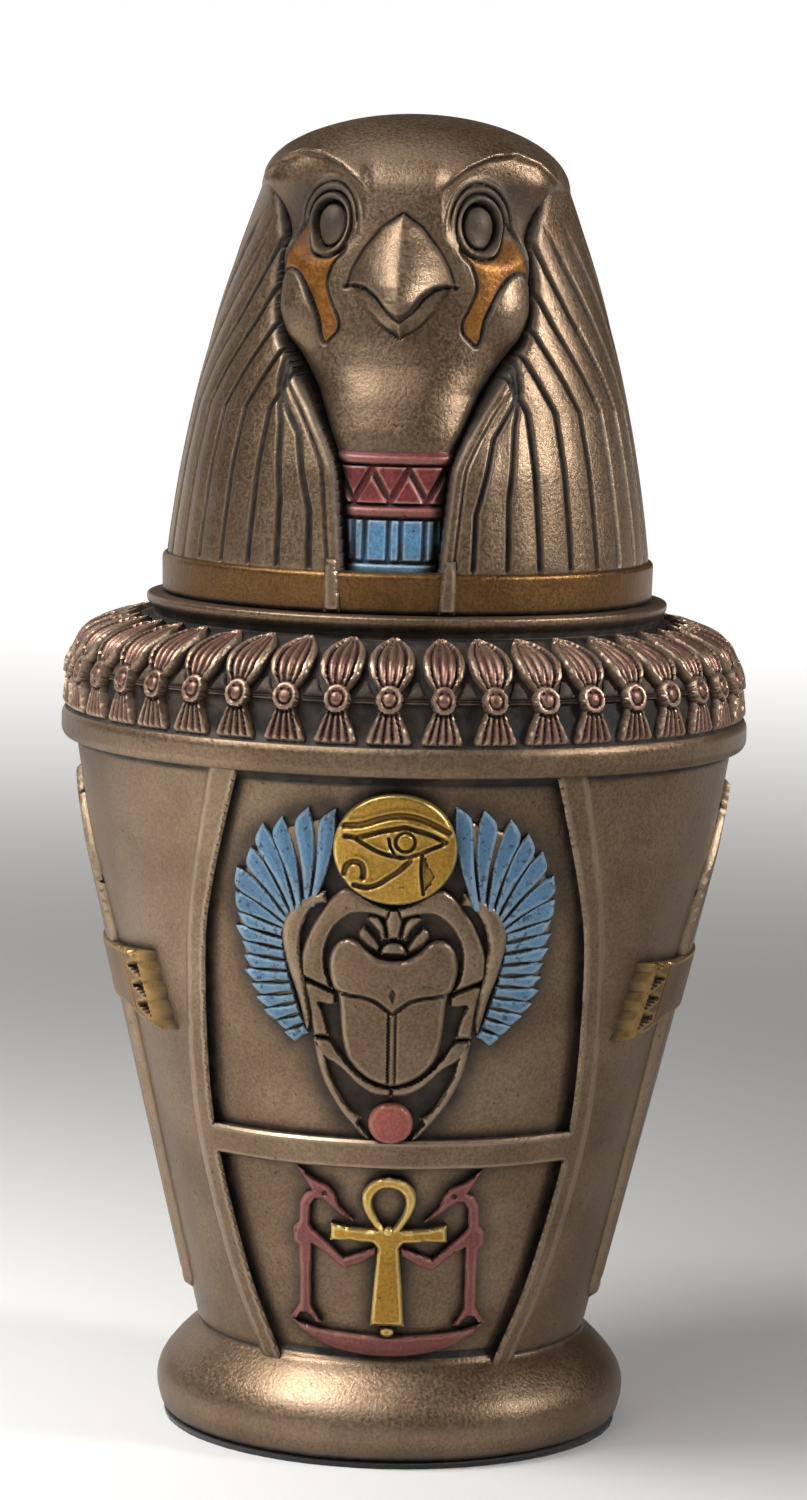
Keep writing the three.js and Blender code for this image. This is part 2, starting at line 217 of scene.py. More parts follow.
def with_sides(tops, faces, root):
    """Adds sides that go straight down to root from the rim of a top."""
    sides = np.vstack([faces[:, [0, 1]], faces[:, [1, 2]], faces[:, [2, 0]]])
    keys = {(a, b) for a, b in sides.tolist()}
    rim = np.array([(a, b) for a, b in keys if (b, a) not in keys])
    rim = rim[np.lexsort((rim[:, 1], rim[:, 0]))]
    below = {v: len(tops) + i for i, v in enumerate(sorted(set(rim.ravel().tolist())))}
    feet = tops[list(below)].copy()
    feet[:, 2] = root
    skirt = []
    for a, b in rim.tolist():
        skirt += [(b, a, below[a]), (b, below[a], below[b])]
    return np.vstack([tops, feet]), np.vstack([faces, np.array(skirt)])


def relief(loops, height, cell, root=-0.7):
    """A raised shape over closed loops, the later ones holes in the first.

    height(x, z, edge) is its top, edge being the distance to the nearest loop; its sides go
    down to root. Returns points as x, z, height, and triangles.
    """
    loops = [stepped(np.array(loop, float), cell) for loop in loops]
    flat, faces, edge = filled(loops, cell)
    tops = np.column_stack([flat, height(flat[:, 0], flat[:, 1], edge)])
    return with_sides(tops, faces, root)


def joined(meshes):
    """Several (points, triangles) as one."""
    points, faces, first = [], [], 0
    for corner, face in meshes:
        points.append(corner)
        faces.append(np.asarray(face) + first)
        first += len(corner)
    return np.vstack(points), np.vstack(faces)


def feet_of(points):
    """1 at the foot of a relief's sides, for antiquing and painted shade, and 0 on its top."""
    return (points[:, 2] <= points[:, 2].min() + 1e-6).astype(float)


def full_circle(columns):
    return 2 * np.pi * np.arange(columns) / columns


def about_axis(radius, turn, z):
    """Points at a radius and height, turned from the front."""
    return np.stack(np.broadcast_arrays(radius * np.sin(turn), -radius * np.cos(turn), z),
                    axis=-1).reshape(-1, 3)


def grid_faces(rows, columns, wrap):
    """Quads of a grid of points stored row after row, going round where wrap is set."""
    row, column = np.mgrid[0:rows - 1, 0:columns if wrap else columns - 1]
    after = (column + 1) % columns
    quads = np.stack([row * columns + column, row * columns + after,
                      (row + 1) * columns + after, (row + 1) * columns + column], axis=-1)
    return quads.reshape(-1, 4)


def hollowness(points, faces, passes):
    """How far each point lies below (+) or above (-) its surroundings, in millimetres."""
    if faces.shape[1] == 4:
        faces = np.vstack([faces[:, [0, 1, 2]], faces[:, [0, 2, 3]]])
    count = len(points)
    a, b, c = (points[faces[:, i]] for i in range(3))
    flat = np.cross(b - a, c - a)
    normal = np.stack([sum(np.bincount(faces[:, i], flat[:, k], count) for i in range(3))
                       for k in range(3)], axis=1)
    normal /= np.maximum(np.linalg.norm(normal, axis=1), 1e-12)[:, None]
    ends = np.vstack([faces[:, [0, 1]], faces[:, [1, 2]], faces[:, [2, 0]]])
    ends.sort(axis=1)
    keys = np.unique(ends[:, 0].astype(np.int64) * count + ends[:, 1])
    first, second = keys // count, keys % count
    degree = np.bincount(first, minlength=count) + np.bincount(second, minlength=count)
    mean = points
    for _ in range(passes):
        total = np.stack([np.bincount(first, mean[second, k], count)
                          + np.bincount(second, mean[first, k], count) for k in range(3)], axis=1)
        mean = 0.5 * mean + 0.5 * total / np.maximum(degree, 1)[:, None]
    return np.einsum("ij,ij->i", mean - points, normal)


def make_piece(name, points, faces, material, slot, crease=40, passes=4, masks=None):
    """A mesh object of the jar from points in millimetres, riding on its body."""
    mesh = bpy.data.meshes.new(name)
    points, faces = np.asarray(points, float), np.asarray(faces)
    size = faces.shape[1]
    mesh.vertices.add(len(points))
    mesh.vertices.foreach_set("co", (points * MM).ravel())
    mesh.loops.add(faces.size)
    mesh.loops.foreach_set("vertex_index", faces.ravel().astype(np.int32))
    mesh.polygons.add(len(faces))
    mesh.polygons.foreach_set("loop_start", np.arange(0, faces.size, size, dtype=np.int32))
    mesh.update(calc_edges=True)
    mesh.validate()
    mesh.shade_smooth()
    mesh.set_sharp_from_angle(angle=math.radians(crease))
    worn = hollowness(points, faces, passes)
    for mask, values in {"hollow": worn, **(masks or {})}.items():
        layer = mesh.attributes.new(mask, "FLOAT", "POINT")
        layer.data.foreach_set("value", np.asarray(values, np.float32))
    mesh.materials.append(material)
    piece = bpy.data.objects.new(name, mesh)
    bpy.context.scene.collection.objects.link(piece)
    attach(piece, ROOT)
    return piece


def turned_profile(corners, step):
    """A profile through (radius, height, rounding) corners, with rounded corners."""
    line = []
    for index, (radius, height, rounding) in enumerate(corners):
        here = np.array([radius, height])
        if rounding == 0 or index in (0, len(corners) - 1):
            line.append(here)
            continue
        before = np.array(corners[index - 1][:2]) - here
        after = np.array(corners[index + 1][:2]) - here
        start = here + before * min(0.5, rounding / np.hypot(*before))
        end = here + after * min(0.5, rounding / np.hypot(*after))
        for t in np.linspace(0, 1, 6):
            line.append((1 - t) ** 2 * start + 2 * t * (1 - t) * here + t * t * end)
    fine = [line[0]]
    for end in line[1:]:
        start = fine[-1]
        gap = np.hypot(*(end - start))
        if gap < 1e-6:
            continue
        count = max(1, math.ceil(gap / step))
        fine += [start + (end - start) * i / count for i in range(1, count + 1)]
    return np.array(fine)


# ---------------------------------------------------------------- the jar's turned body

WALL = softened([(14.4, 28.6), (50, 37.1), (86, 45.6), (101.4, 48.1)], 7)
BAND = {"bottom": 101.4, "top": 105.6, "radius": 50.3}
RIM = {"bottom": 119.3, "radius": 38.1, "mouth": 32.8, "top": 122.5}

# The frame's outer edge bulges from the band down to the foot.
STRAP_EDGE = smooth([(26.2, 102.4), (27.4, 95), (28.9, 84), (29.6, 71), (28.3, 49), (23.4, 28),
                     (18.6, 15), (17.6, 12.4)], 60)
STRAP_WIDTH = softened([(12, 2.9), (80, 2.9), (101, 4.2), (103, 4.4)], 3)
CROSSBAR = {"bottom": 44.1, "top": 48.4}


def strap_inner(z):
    order = np.argsort(STRAP_EDGE[:, 1])
    return np.interp(z, STRAP_EDGE[order, 1], STRAP_EDGE[order, 0]) - STRAP_WIDTH(z)


def on_wall(points, turn=0):
    """Carries (x, z, height) points drawn as seen from the front onto the wall, then turns."""
    x, z, height = points.T
    radius = WALL(z) + height
    y = -np.sqrt(np.maximum(radius * radius - x * x, 1))
    c, s = math.cos(turn), math.sin(turn)
    return np.column_stack([x * c - y * s, x * s + y * c, z])


def wall_piece(name, parts, material, **options):
    """One piece from reliefs, each given with the turn that carries it round the wall."""
    meshes = [(on_wall(points, turn), faces) for (points, faces), turn in parts]
    # The feet of the ornaments' sides get painted shade and antiquing.
    wash_and_shade = np.concatenate([feet_of(points) for (points, _), _ in parts])
    return make_piece(name, *joined(meshes), material, "bronze_resin", masks={"washed": wash_and_shade},
                      **options)


def body_profile():
    foot = [(0, PAD_HIGH[2], 0), (32.6, PAD_HIGH[2], 1), (33.9, 1.6, 1), (34.9, 5.2, 2.6),
            (34.2, 8.2, 2), (32.2, 10.8, 1.6), (30.2, 12.8, 1), (28.75, 13.9, 0.5), (28.4, 14.6, 0)]
    wall = [(WALL(z), z, 0) for z in np.arange(15.2, BAND["bottom"] - 0.5, 0.75)]
    band = [(48.2, BAND["bottom"] - 0.2, 0), (BAND["radius"] - 0.5, BAND["bottom"], 0.4),
            (BAND["radius"], BAND["bottom"] + 0.9, 0.5), (BAND["radius"], BAND["top"] - 0.9, 0.5),
            (BAND["radius"] - 0.5, BAND["top"], 0.4)]
    shoulder = [(r - 0.45, z, 1.2) for r, z in SHOULDER[1:-1]]
    rim = [(RIM["radius"] - 1.3, RIM["bottom"] - 0.1, 0.5), (RIM["radius"] - 1.0, 120.2, 0.3),
           (RIM["radius"] - 0.5, 120.7, 0.3), (RIM["radius"], 121.3, 0.5),
           (RIM["radius"], RIM["top"] - 0.2, 0.4), (RIM["radius"] - 0.8, RIM["top"], 0.4),
           (RIM["mouth"] + 1.2, RIM["top"], 0.8), (RIM["mouth"], RIM["top"] - 1.1, 0.8),
           (RIM["mouth"], 117, 1.5)]
    hollow = [(40.4, 112.8, 3), (43.9, 106, 4), (42.8, 95, 5), (32.4, 50, 6), (24.6, 16, 4),
              (22.6, 10, 3), (0, 10, 0)]
    outside = turned_profile(foot, 1.1), np.array(wall)[:, :2]
    upper = turned_profile(band + shoulder + rim, 0.8), turned_profile(hollow, 4.5)
    return np.vstack(outside + upper)


def body_wash_and_shade(x, z, front):
    """Dark antiquing and painted shade on the ground round the ornaments, fading further out."""
    halo = np.zeros(x.shape)
    side = np.abs(x)
    near = front & (side < 32)
    wing = [np.array(LONG_TIPS + SHORT_TIPS + SHORT_ROOTS[::-1] + LONG_ROOTS[::-1])]
    beetle = [smooth(HIND_LEG[0], 12), smooth(MIDDLE_LEG[0][2:], 6), smooth(FORELEG[0][3:], 10)]
    figures = [np.array(HERON[:20]), np.array([(0, 42.8), (3.8, 39), (2, 34.8), (8.2, 34.2)]),
               np.array([(1.8, 33), (2.4, 20)]), np.array([(13.4, 20), (8.6, 16.6), (0, 15.3)])]
    disc = [oval(0, DISC["z"], DISC["half_width"], DISC["half_height"], 24)]
    for lines, reach, depth in ((wing, 1.9, 0.75), (beetle, 2.4, 0.9), (disc, 1.8, 0.85),
                                (figures, 1.7, 0.7)):
        away = distance(lines, side[near], z[near])
        halo[near] = np.maximum(halo[near], depth * faded(away, reach))
    # Between the beetle's legs, and between the wings and the disc, painted shade and antiquing
    # cover the ground all over.
    pocket = [np.array([(0, 83), (9.6, 97), (11.2, 84), (12.6, 75), (11, 63), (7, 53.4),
                        (2.5, 48.4), (0, 48.2)])]
    halo[near] = np.maximum(halo[near], 0.9 * inside(pocket, side[near], z[near]))
    # Painted shade along the inner edges of the frames, where the panels step down.
    for low, high in ((CROSSBAR["top"], BAND["bottom"]), (14.6, CROSSBAR["bottom"])):
        framed = near & (z > low) & (z < high)
        away = np.minimum(np.minimum(z - low, high - z), strap_inner(z) - side)
        halo = np.maximum(halo, np.where(framed, 0.45 * faded(away, 1.0), 0))
    return halo


def jar_body(material):
    columns = 264
    profile = body_profile()
    turn = full_circle(columns)
    z = np.repeat(profile[:, 1], columns).reshape(-1, columns)
    radius = np.repeat(profile[:, 0], columns).reshape(-1, columns)
    x = radius * np.sin(turn)
    front = np.cos(turn) > 0
    # The panels lie below the wall; the step itself runs under the straps.
    edge = strap_inner(z) + 0.5 * STRAP_WIDTH(z)
    outer = (profile[:, 0] > WALL(profile[:, 1]) - 0.1)[:, None]
    on_body = (z > 14.9) & (z < BAND["bottom"] - 0.3) & outer
    sunk = 1 - smooth_step(-1.0, 0.6, np.abs(x) - edge)
    radius = radius - PANEL_DEPTH * sunk * np.where(front & on_body, 1, 0)
    washed = np.where(on_body, body_wash_and_shade(x, z, front), 0)
    # Painted shade, with antiquing: the ground under the lotus frieze is dark all over.
    frieze = (z > BAND["top"] - 0.2) & (z < RIM["bottom"] + 0.6) & (radius > RIM["radius"] - 2)
    washed = np.maximum(washed, 1.0 * frieze)
    # Painted shade: the foot darkens towards its lower edge, near the floor.
    washed = np.maximum(washed, 0.55 * smooth_step(4.5, 0.8, z) * (radius > 30))
    piece = make_piece("jar_body", about_axis(radius, turn, z),
                       grid_faces(len(profile), columns, True), material, "bronze_resin",
                       crease=60, masks={"washed": washed.ravel()})
    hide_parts("jar")
    return piece


# ---------------------------------------------------------------- panel frames

def frame_relief():
    """Two straps and a crossbar as one shape with two openings."""
    def side(low, high, inner):
        z = np.linspace(low, high, 50)
        x = strap_inner(z) if inner else np.interp(z, STRAP_EDGE[::-1, 1], STRAP_EDGE[::-1, 0])
        return np.column_stack([x, z])

    def around(right):
        return np.vstack([right, mirrored(right)])

    outer = around(side(12.4, 102.2, False))
    upper = around(side(CROSSBAR["top"], 101.9, True))
    lower = around(side(12.9, CROSSBAR["bottom"], True))

    def height(x, z, edge):
        worn = 0.04 * np.sin(0.31 * z + 0.4 * x)
        return HEIGHT["strap"] + worn + rounded_edge(edge, 0.4)

    return relief([outer, upper, lower], height, 0.42, root=-PANEL_DEPTH - 0.6)


def panel_frames(material):
    shape = frame_relief()
    return wall_piece("panel_frames", [(shape, 0), (shape, math.pi)], material)


# ---------------------------------------------------------------- side bars and clips

def lancet():
    """The pointed bar's outline: broad above the middle, nearly square at the foot."""
    right = smooth([(7.2, 21.2), (9.3, 40), (11.6, 58), (12.2, 71), (10.4, 82.5), (5.6, 91.5),
                    (0, 96.4)], 40)
    foot = np.array([(0, 19.3), (5.6, 19.4), (6.7, 20)])
    right = np.vstack([foot, right])
    return np.vstack([right, mirrored(right[:-1])[:-1]])


def side_bars(material):
    def height(x, z, edge):
        return HEIGHT["side_bar"] + rounded_edge(edge, 0.9) - 0.25 * np.exp(-(edge - 2.1) ** 2 / .1)

    shape = relief([lancet()], height, 0.6, root=-0.6)
    return wall_piece("side_bars", [(shape, 0.5 * math.pi), (shape, -0.5 * math.pi)], material)


# Half its length, where it begins to flare, its lower and upper edge at the ends and there.
CLIP = {"half": 24.6, "middle": 15, "bottom": (61.4, 63.2), "top": (72.7, 71.8), "teeth": 4}


def clip_outline():
    """A band across the bar whose ends flare and are cut in a row of notches."""
    z_low, z_high = CLIP["bottom"][0], CLIP["top"][0]
    z = np.linspace(z_low, z_high, 2 * CLIP["teeth"] + 1)
    notched = CLIP["half"] + np.where(np.arange(len(z)) % 2, 0.15, 0.6)
    end = np.column_stack([notched, z])
    right = np.vstack([[(CLIP["middle"], CLIP["bottom"][1])], end,
                       [(CLIP["middle"], CLIP["top"][1])]])
    return np.vstack([right, mirrored(right)])


def side_clips(material):
    z_low, z_high = CLIP["bottom"][0], CLIP["top"][0]
    pitch = (z_high - z_low) / CLIP["teeth"]

    def height(x, z, edge):
        flare = smooth_step(CLIP["middle"], CLIP["half"], np.abs(x))
        top = HEIGHT["side_clip"] - 0.35 + 0.75 * flare + rounded_edge(edge, 0.5)
        # Each end carries a row of triangular teeth that point outwards.
        along = CLIP["half"] - np.abs(x)
        share = np.abs((z - z_low) / pitch % 1 - 0.5) * 2
        tooth = share < 0.12 + 0.22 * along
        top -= 0.9 * np.where((along < 3.9) & ~tooth & (along > 0.3), 1, 0)
        top += groove(along - 4.7, 0.7, 0.6)
        return top

    shape = relief([clip_outline()], height, 0.33, root=-0.4)
    return wall_piece("side_clips", [(shape, 0.5 * math.pi), (shape, -0.5 * math.pi)], material)


# ---------------------------------------------------------------- the winged scarab

LONG_TIPS = [(9.4, 96.8), (13.2, 95.9), (16.8, 94.5), (19.4, 93), (21.2, 89.9), (22.4, 85.9),
             (22.9, 82.7)]
LONG_ROOTS = [(11.3, 83.3), (12.2, 83.3), (13.3, 83), (14.2, 82.3), (14.9, 81.4), (15.3, 80.4),
              (15.5, 79.4)]
SHORT_TIPS = [(22.2, 80), (21.4, 75.5), (20.6, 71.6), (18.4, 67), (14.6, 63)]
SHORT_ROOTS = [(15.5, 78.4), (15.2, 75), (14.2, 70.6), (12.9, 66.6), (12.1, 64.4)]
SHORT_FEATHERS = 10


def feather(root, tip, share, inner, outer, bend=0.0):
    """A blade that widens to its end, which is cut slantwise to a point on its inner side."""
    root, tip = np.array(root), np.array(tip)
    ahead = tip - root
    across = np.array([ahead[1], -ahead[0]]) / np.hypot(*ahead)
    share = np.array(share)[:, None]
    line = root + share * ahead - bend * np.sin(np.pi * share) * across
    left = smooth(line - across * np.array(inner)[:, None], 24)
    right = smooth(line + across * np.array(outer)[:, None], 24)
    return np.vstack([left, right[::-1]]), line


def long_feather(root, tip, index):
    return feather(root, tip, [-0.06, 0.15, 0.4, 0.62, 0.78, 0.9, 1.02],
                   [0.4, 0.6, 0.95, 1.25, 1.4, 1.35, 1.15],
                   [0.4, 0.55, 0.85, 1.15, 1.25, 0.75, -1.1], 0.5 - 0.05 * index)


def short_feather(root, tip):
    return feather(root, tip, [0, 0.3, 0.6, 0.82, 1.04], [0.7, 0.66, 0.85, 1.0, 0.75],
                   [0.7, 0.66, 0.85, 0.8, -0.7])


def wing_feathers():
    """Outline and shaft of each feather of the right wing, from the head round to the foot."""
    feathers = [long_feather(root, tip, i)
                for i, (root, tip) in enumerate(zip(LONG_ROOTS, LONG_TIPS))]
    tips = smooth(SHORT_TIPS, SHORT_FEATHERS)
    roots = smooth(SHORT_ROOTS, SHORT_FEATHERS)
    return feathers + [short_feather(root, tip) for root, tip in zip(roots, tips)]


def wings(material):
    rng = np.random.default_rng(7)
    parts = []
    for sign in (1, -1):
        for index, (loop, shaft) in enumerate(wing_feathers()):
            lift = HEIGHT["feather"] + rng.uniform(-0.1, 0.12)
            tilt = rng.uniform(0.04, 0.13)
            stretch = rng.uniform(0.93, 1.05)
            loop = shaft[0] + (loop - shaft[0]) * stretch
            centre = loop.mean(axis=0)

            def height(x, z, edge, lift=lift, tilt=tilt, centre=centre, shaft=shaft):
                across = (x - centre[0]) * 0.5 - (z - centre[1])
                ridge = 0.16 * np.clip(1 - distance([shaft], x, z) / 0.8, 0, 1)
                return lift + tilt * across + ridge + rounded_edge(edge, 0.3)

            points, faces = relief([loop], height, 0.26, root=PANEL_ROOT)
            if sign < 0:
                points = points * [-1, 1, 1]
                faces = faces[:, ::-1]
            parts.append(((points, faces), 0))
    return wall_piece("wings", parts, material)


def both_sides(outline_points):
    return [np.array(outline_points), mirrored(outline_points)]


def wing_backs(material):
    """The dark plate that shows between the feathers, and the wing's arm beside their roots."""
    rim = np.vstack([smooth([(10.2, 95), (16.5, 92.6), (20.6, 87.6), (21.8, 81.5), (21, 75.6),
                             (19.6, 70.6), (17.4, 66.6), (14.2, 63.8)], 40),
                     smooth([(12.4, 65), (14.2, 71), (15.4, 77), (14, 82), (11, 84)], 20)])
    arm = np.vstack([smooth([(9.6, 84.9), (11.6, 84.3), (13.9, 82.9), (15.3, 80.4), (15.6, 77.6),
                             (14.7, 73.4), (13.3, 69.4), (12.5, 66.2), (11.9, 64.4)], 40),
                     smooth([(11.5, 66.4), (12.1, 70), (12.6, 73), (13.1, 76.6), (12.8, 79.2),
                             (11.9, 81.6), (10.6, 82.9), (9.4, 83.2)], 30)])

    def plate(x, z, edge):
        return HEIGHT["feather"] - 0.55 + rounded_edge(edge, 0.3)

    def arm_top(x, z, edge):
        return HEIGHT["leg"] + 0.1 + 0.3 * np.clip(edge / 1.2, 0, 1) + rounded_edge(edge, 0.4)

    parts = [(relief([loop], top, 0.4, root=PANEL_ROOT), 0)
             for shape, top in ((rim, plate), (arm, arm_top)) for loop in both_sides(shape)]
    return wall_piece("wing_backs", parts, material)


# Half of each outline of the beetle, drawn for its right side.
SHELL_HALF = [(0, 75.0), (2.0, 75.3), (3.6, 76.3), (5.0, 77.6), (6.4, 78.1), (7.9, 77.4),
              (8.8, 75.6), (8.9, 73.2), (8.2, 70.8), (7.6, 70.1), (7.3, 67.5), (7.0, 64.2),
              (6.4, 61.4), (5.2, 59.4), (3.5, 57.9), (1.6, 57.0), (0, 56.6)]
WING_CASE_LINE = [(7.9, 70.4), (5.6, 69.9), (3.8, 69.7), (2.2, 69.1), (0.9, 68.1), (0, 67.4)]
RIM_BAND = ([(10.9, 63.2), (8.8, 63.0), (7.9, 61.9), (6.4, 59.9), (4.6, 58.1), (2.6, 56.9),
             (0, 56.2)],
            [(0, 54.9), (2.4, 55.2), (4.8, 56.6), (7.0, 58.8), (9.4, 60.3), (10.6, 61.4)])
FORELEG = ([(0.5, 82.6), (3, 83.6), (6.2, 85.4), (8.4, 84.2), (10.6, 81.2), (12.1, 78),
            (12.9, 75.2), (12.8, 72.3)],
           [(8.4, 70.5), (9.4, 73.2), (9.6, 75.8), (9.0, 78.2), (7.7, 80.3), (5.6, 81.8),
            (3.2, 81.8), (1.0, 81.2)])
MIDDLE_LEG = ([(8.0, 69.9), (9.6, 70.6), (12.4, 71.4), (11.9, 68.4), (11.4, 65.6), (11.0, 63.6)],
              [(8.9, 63.6), (9.2, 65.2), (9.8, 67.2), (10.3, 68.4), (9.0, 68.2), (7.9, 68.4)])
HIND_LEG = ([(11, 63.0), (10.5, 60.2), (9.7, 57.4), (8.0, 54), (5.8, 50.9), (3.6, 48.5),
             (2.6, 48.2)],
            [(3.4, 49.6), (4.6, 51.0), (4.0, 51.6), (5.6, 52.6), (7.5, 55.6), (8.7, 58.2),
             (9.2, 60.4), (9.3, 61.6)])
FEELER = ([(3.3, 81.5), (2.3, 81.5), (1.4, 80.2), (1.0, 78.2)],
          [(1.7, 78.0), (2.3, 79.4), (3.2, 80.4), (3.8, 81.1)])
FEELER_LEAF = ([(4.1, 80), (3.2, 79), (2.4, 78.0), (1.8, 76.9), (2.2, 76.1)],
               [(4.0, 77.1), (4.9, 78.4), (4.8, 79.4)])


def half_shape(parts, steps=26):
    return np.vstack([smooth(part, steps) for part in parts])


def shell_height(x, z, edge):
    """A domed shell with the line of the wing cases and the seam between them cut in."""
    domed = 0.75 * np.sqrt(np.clip(1 - (x / 9.8) ** 2 - ((z - 67) / 13) ** 2, 0, 1))
    cases = [smooth(WING_CASE_LINE, 30), mirrored(smooth(WING_CASE_LINE, 30))]
    top = HEIGHT["shell"] - 0.65 + domed + rounded_edge(edge, 0.75)
    top += groove(distance(cases, x, z), 0.55, 0.5)
    seam = np.abs(np.abs(x) - 0.5)
    top += groove(seam, 0.32, 0.42) * smooth_step(67.9, 67.2, z)
    notch = np.abs(x) + 0.5 * np.abs(z - 70.2)
    top -= 0.4 * smooth_step(0.75, 0.35, notch)
    # The thorax stands a little above the wing cases.
    line = np.interp(np.abs(x), [p[0] for p in WING_CASE_LINE[::-1]],
                     [p[1] for p in WING_CASE_LINE[::-1]])
    return top + 0.12 * smooth_step(-0.2, 0.3, z - line)


def limb_height(level, crown=0.3, bevel=0.45):
    def height(x, z, edge):
        return level - crown + crown * np.clip(edge / 1.1, 0, 1) + rounded_edge(edge, bevel)
    return height


def scarab(material):
    shell = np.vstack([smooth(SHELL_HALF, 70), mirrored(smooth(SHELL_HALF, 70))[1:-1]])
    head = [(math.cos(a) * 1.75, 76.0 + math.sin(a) * 1.7) for a in np.linspace(0, np.pi, 20)]
    throat = [(-0.75, 78.2), (0.75, 78.2), (1.2, 80.8), (0.6, 82.6), (-0.6, 82.6), (-1.2, 80.8)]
    leg = HEIGHT["leg"]
    shapes = [([shell], shell_height, 0.3), ([head], limb_height(leg + 0.55), 0.25),
              ([throat], limb_height(leg + 0.1), 0.3)]
    band = np.vstack([smooth(RIM_BAND[0], 30), smooth(RIM_BAND[1], 30)])
    for parts, level in ((FORELEG, leg + 0.2), (MIDDLE_LEG, leg), (HIND_LEG, leg),
                         (FEELER, leg + 0.15), (FEELER_LEAF, leg - 0.1)):
        shapes += [([loop], limb_height(level), 0.3) for loop in both_sides(half_shape(parts))]
    shapes += [([loop], limb_height(leg - 0.05), 0.3) for loop in both_sides(band)]
    parts = [(relief(loops, top, cell, root=PANEL_ROOT), 0)
             for loops, top, cell in shapes]
    return wall_piece("scarab", parts, material)


# ---------------------------------------------------------------- sun disc and ball

DISC = {"z": 91.2, "half_width": 8.6, "half_height": 7.9}
# The wedjat eye, as lines cut into the disc; each has its points and its width.
EYE_LINES = [
    ([(-7.0, 94.5), (-4.6, 94.7), (-2.2, 95.5), (0.1, 96.0), (2.3, 95.9), (4.7, 95.1),
      (7.3, 93.7)], 0.8),
    ([(-6.9, 93.0), (-5.3, 92.9), (-3.9, 93.2), (-2, 93.8), (0.1, 94.2), (1.4, 94.4),
      (3, 94.0), (5, 93.4), (7, 92.4)], 0.6),
    ([(-5.3, 92.6), (-3.8, 91.7), (-2.2, 90.9), (-0.4, 90.4), (1.4, 90.2), (3.3, 90.7),
      (4.6, 91.3), (6.5, 92.1)], 0.5),
    ([(2.1, 89.8), (0.65, 88.3), (-0.9, 87.2), (-2.2, 86.3), (-3.8, 85.8), (-5.6, 86.1)], 0.65),
    ([(-7.0, 87.7), (-6.7, 88.8), (-5.7, 89.4), (-4.7, 89.1), (-4.3, 88.1), (-4.4, 87.2)], 0.7),
    ([(3.75, 90.5), (3.65, 88.2), (4.0, 85.0)], 0.4),
    ([(-0.9, 92.9), (-0.6, 91.5), (-0.1, 90.7)], 0.35),
]
TEAR = [(4.1, 90.4), (4.6, 88.9), (5.5, 87.7), (5.0, 86.5), (4.3, 85.4), (4.0, 88)]
IRIS = {"x": 1.4, "z": 92.35, "radius": 1.35}


def disc_height(x, z, edge):
    top = HEIGHT["disc"] + rounded_edge(edge, 0.7)
    for line, width in EYE_LINES:
        away = distance([smooth(line, 30)], x, z)
        top = top + groove(away, width, 0.5) + 0.14 * faded(away - width, 0.3)
    tear = inside([np.array(TEAR)], x, z)
    iris = np.hypot(x - IRIS["x"], z - IRIS["z"]) - IRIS["radius"]
    top += groove(iris, 0.42, 0.42) + 0.22 * smooth_step(0, -0.7, iris)
    return top - 0.4 * tear


def sun_disc(material):
    loop = oval(0, DISC["z"], DISC["half_width"], DISC["half_height"], 90)
    shape = relief([loop], disc_height, 0.2, root=PANEL_ROOT)
    return wall_piece("sun_disc", [(shape, 0)], material)


def scarab_ball(material):
    def height(x, z, edge):
        return HEIGHT["ball"] - 0.7 + 0.7 * np.sqrt(np.clip(edge / 3, 0, 1)) + rounded_edge(edge, .5)

    shape = relief([oval(0, 51.0, 3.15, 3.05, 48)], height, 0.28, root=PANEL_ROOT)
    return wall_piece("scarab_ball", [(shape, 0)], material)


# ---------------------------------------------------------------- ankh, herons and boat

def ankh(material):
    loop = smooth([(0, 42.9), (2.2, 42.3), (3.6, 40.7), (3.8, 39), (3.2, 37.2), (2.2, 35.6),
                   (1.7, 34.9)], 30)
    hole = smooth([(0, 41.3), (1.4, 40.9), (2.3, 39.6), (2.2, 38), (1.5, 36.4), (0.5, 35),
                   (0, 34.7)], 24)
    right = np.vstack([loop, [(2.6, 34.8), (5.6, 35.0), (8.2, 35.5), (8.3, 33.0), (5.4, 33.1),
                              (2.2, 32.9), (1.55, 32.2), (2.0, 26), (2.4, 20.2)]])
    outline_points = np.vstack([right, mirrored(right)[:-1]])
    opening = np.vstack([hole, mirrored(hole)[1:-1]])

    def height(x, z, edge):
        return HEIGHT["ankh"] - 0.15 + 0.15 * np.clip(edge, 0, 1) + rounded_edge(edge, 0.4)

    cross = relief([outline_points, opening], height, 0.28, root=PANEL_ROOT)
    knob = relief([oval(0, 34.6, 0.75, 0.75, 20)],
                  lambda x, z, edge: HEIGHT["ankh"] + 0.4 + rounded_edge(edge, 0.6), 0.25)
    foot = relief([oval(0, 19.2, 1.0, 0.8, 20)],
                  lambda x, z, edge: HEIGHT["ankh"] - 0.1 + rounded_edge(edge, 0.5), 0.25)
    return wall_piece("ankh", [(cross, 0), (knob, 0), (foot, 0)], material)


HERON = [(13.9, 20.2), (13.2, 21.3), (12.6, 22.6), (12.55, 27), (12.8, 31.6), (13.5, 32.2),
         (13.6, 34.2), (12.8, 35.2), (12.7, 38.2), (12.0, 39.7), (11.0, 40.2), (12.2, 42.2),
         (13.1, 43.7), (10.6, 41.9), (8.6, 41.0), (7.7, 39.9), (7.1, 38.2), (4.9, 36.0),
         (6.4, 36.6), (8.4, 38.2), (9.6, 39.1), (10.6, 39.0), (11.2, 38.0), (11.3, 35),
         (10.7, 34.2), (8.6, 32.4), (6.3, 30.3), (4, 31.3), (1.6, 32.4), (1.6, 31.1),
         (4, 29.6), (6.2, 28.6), (7.3, 29.4), (9.2, 31.1), (10.9, 32.0), (11.0, 27),
         (10.9, 22.6), (10.3, 21.3), (9.4, 20.0), (10.2, 19.9), (10.9, 20.9), (11.6, 21.4),
         (12.4, 21.2), (13.0, 20.2)]


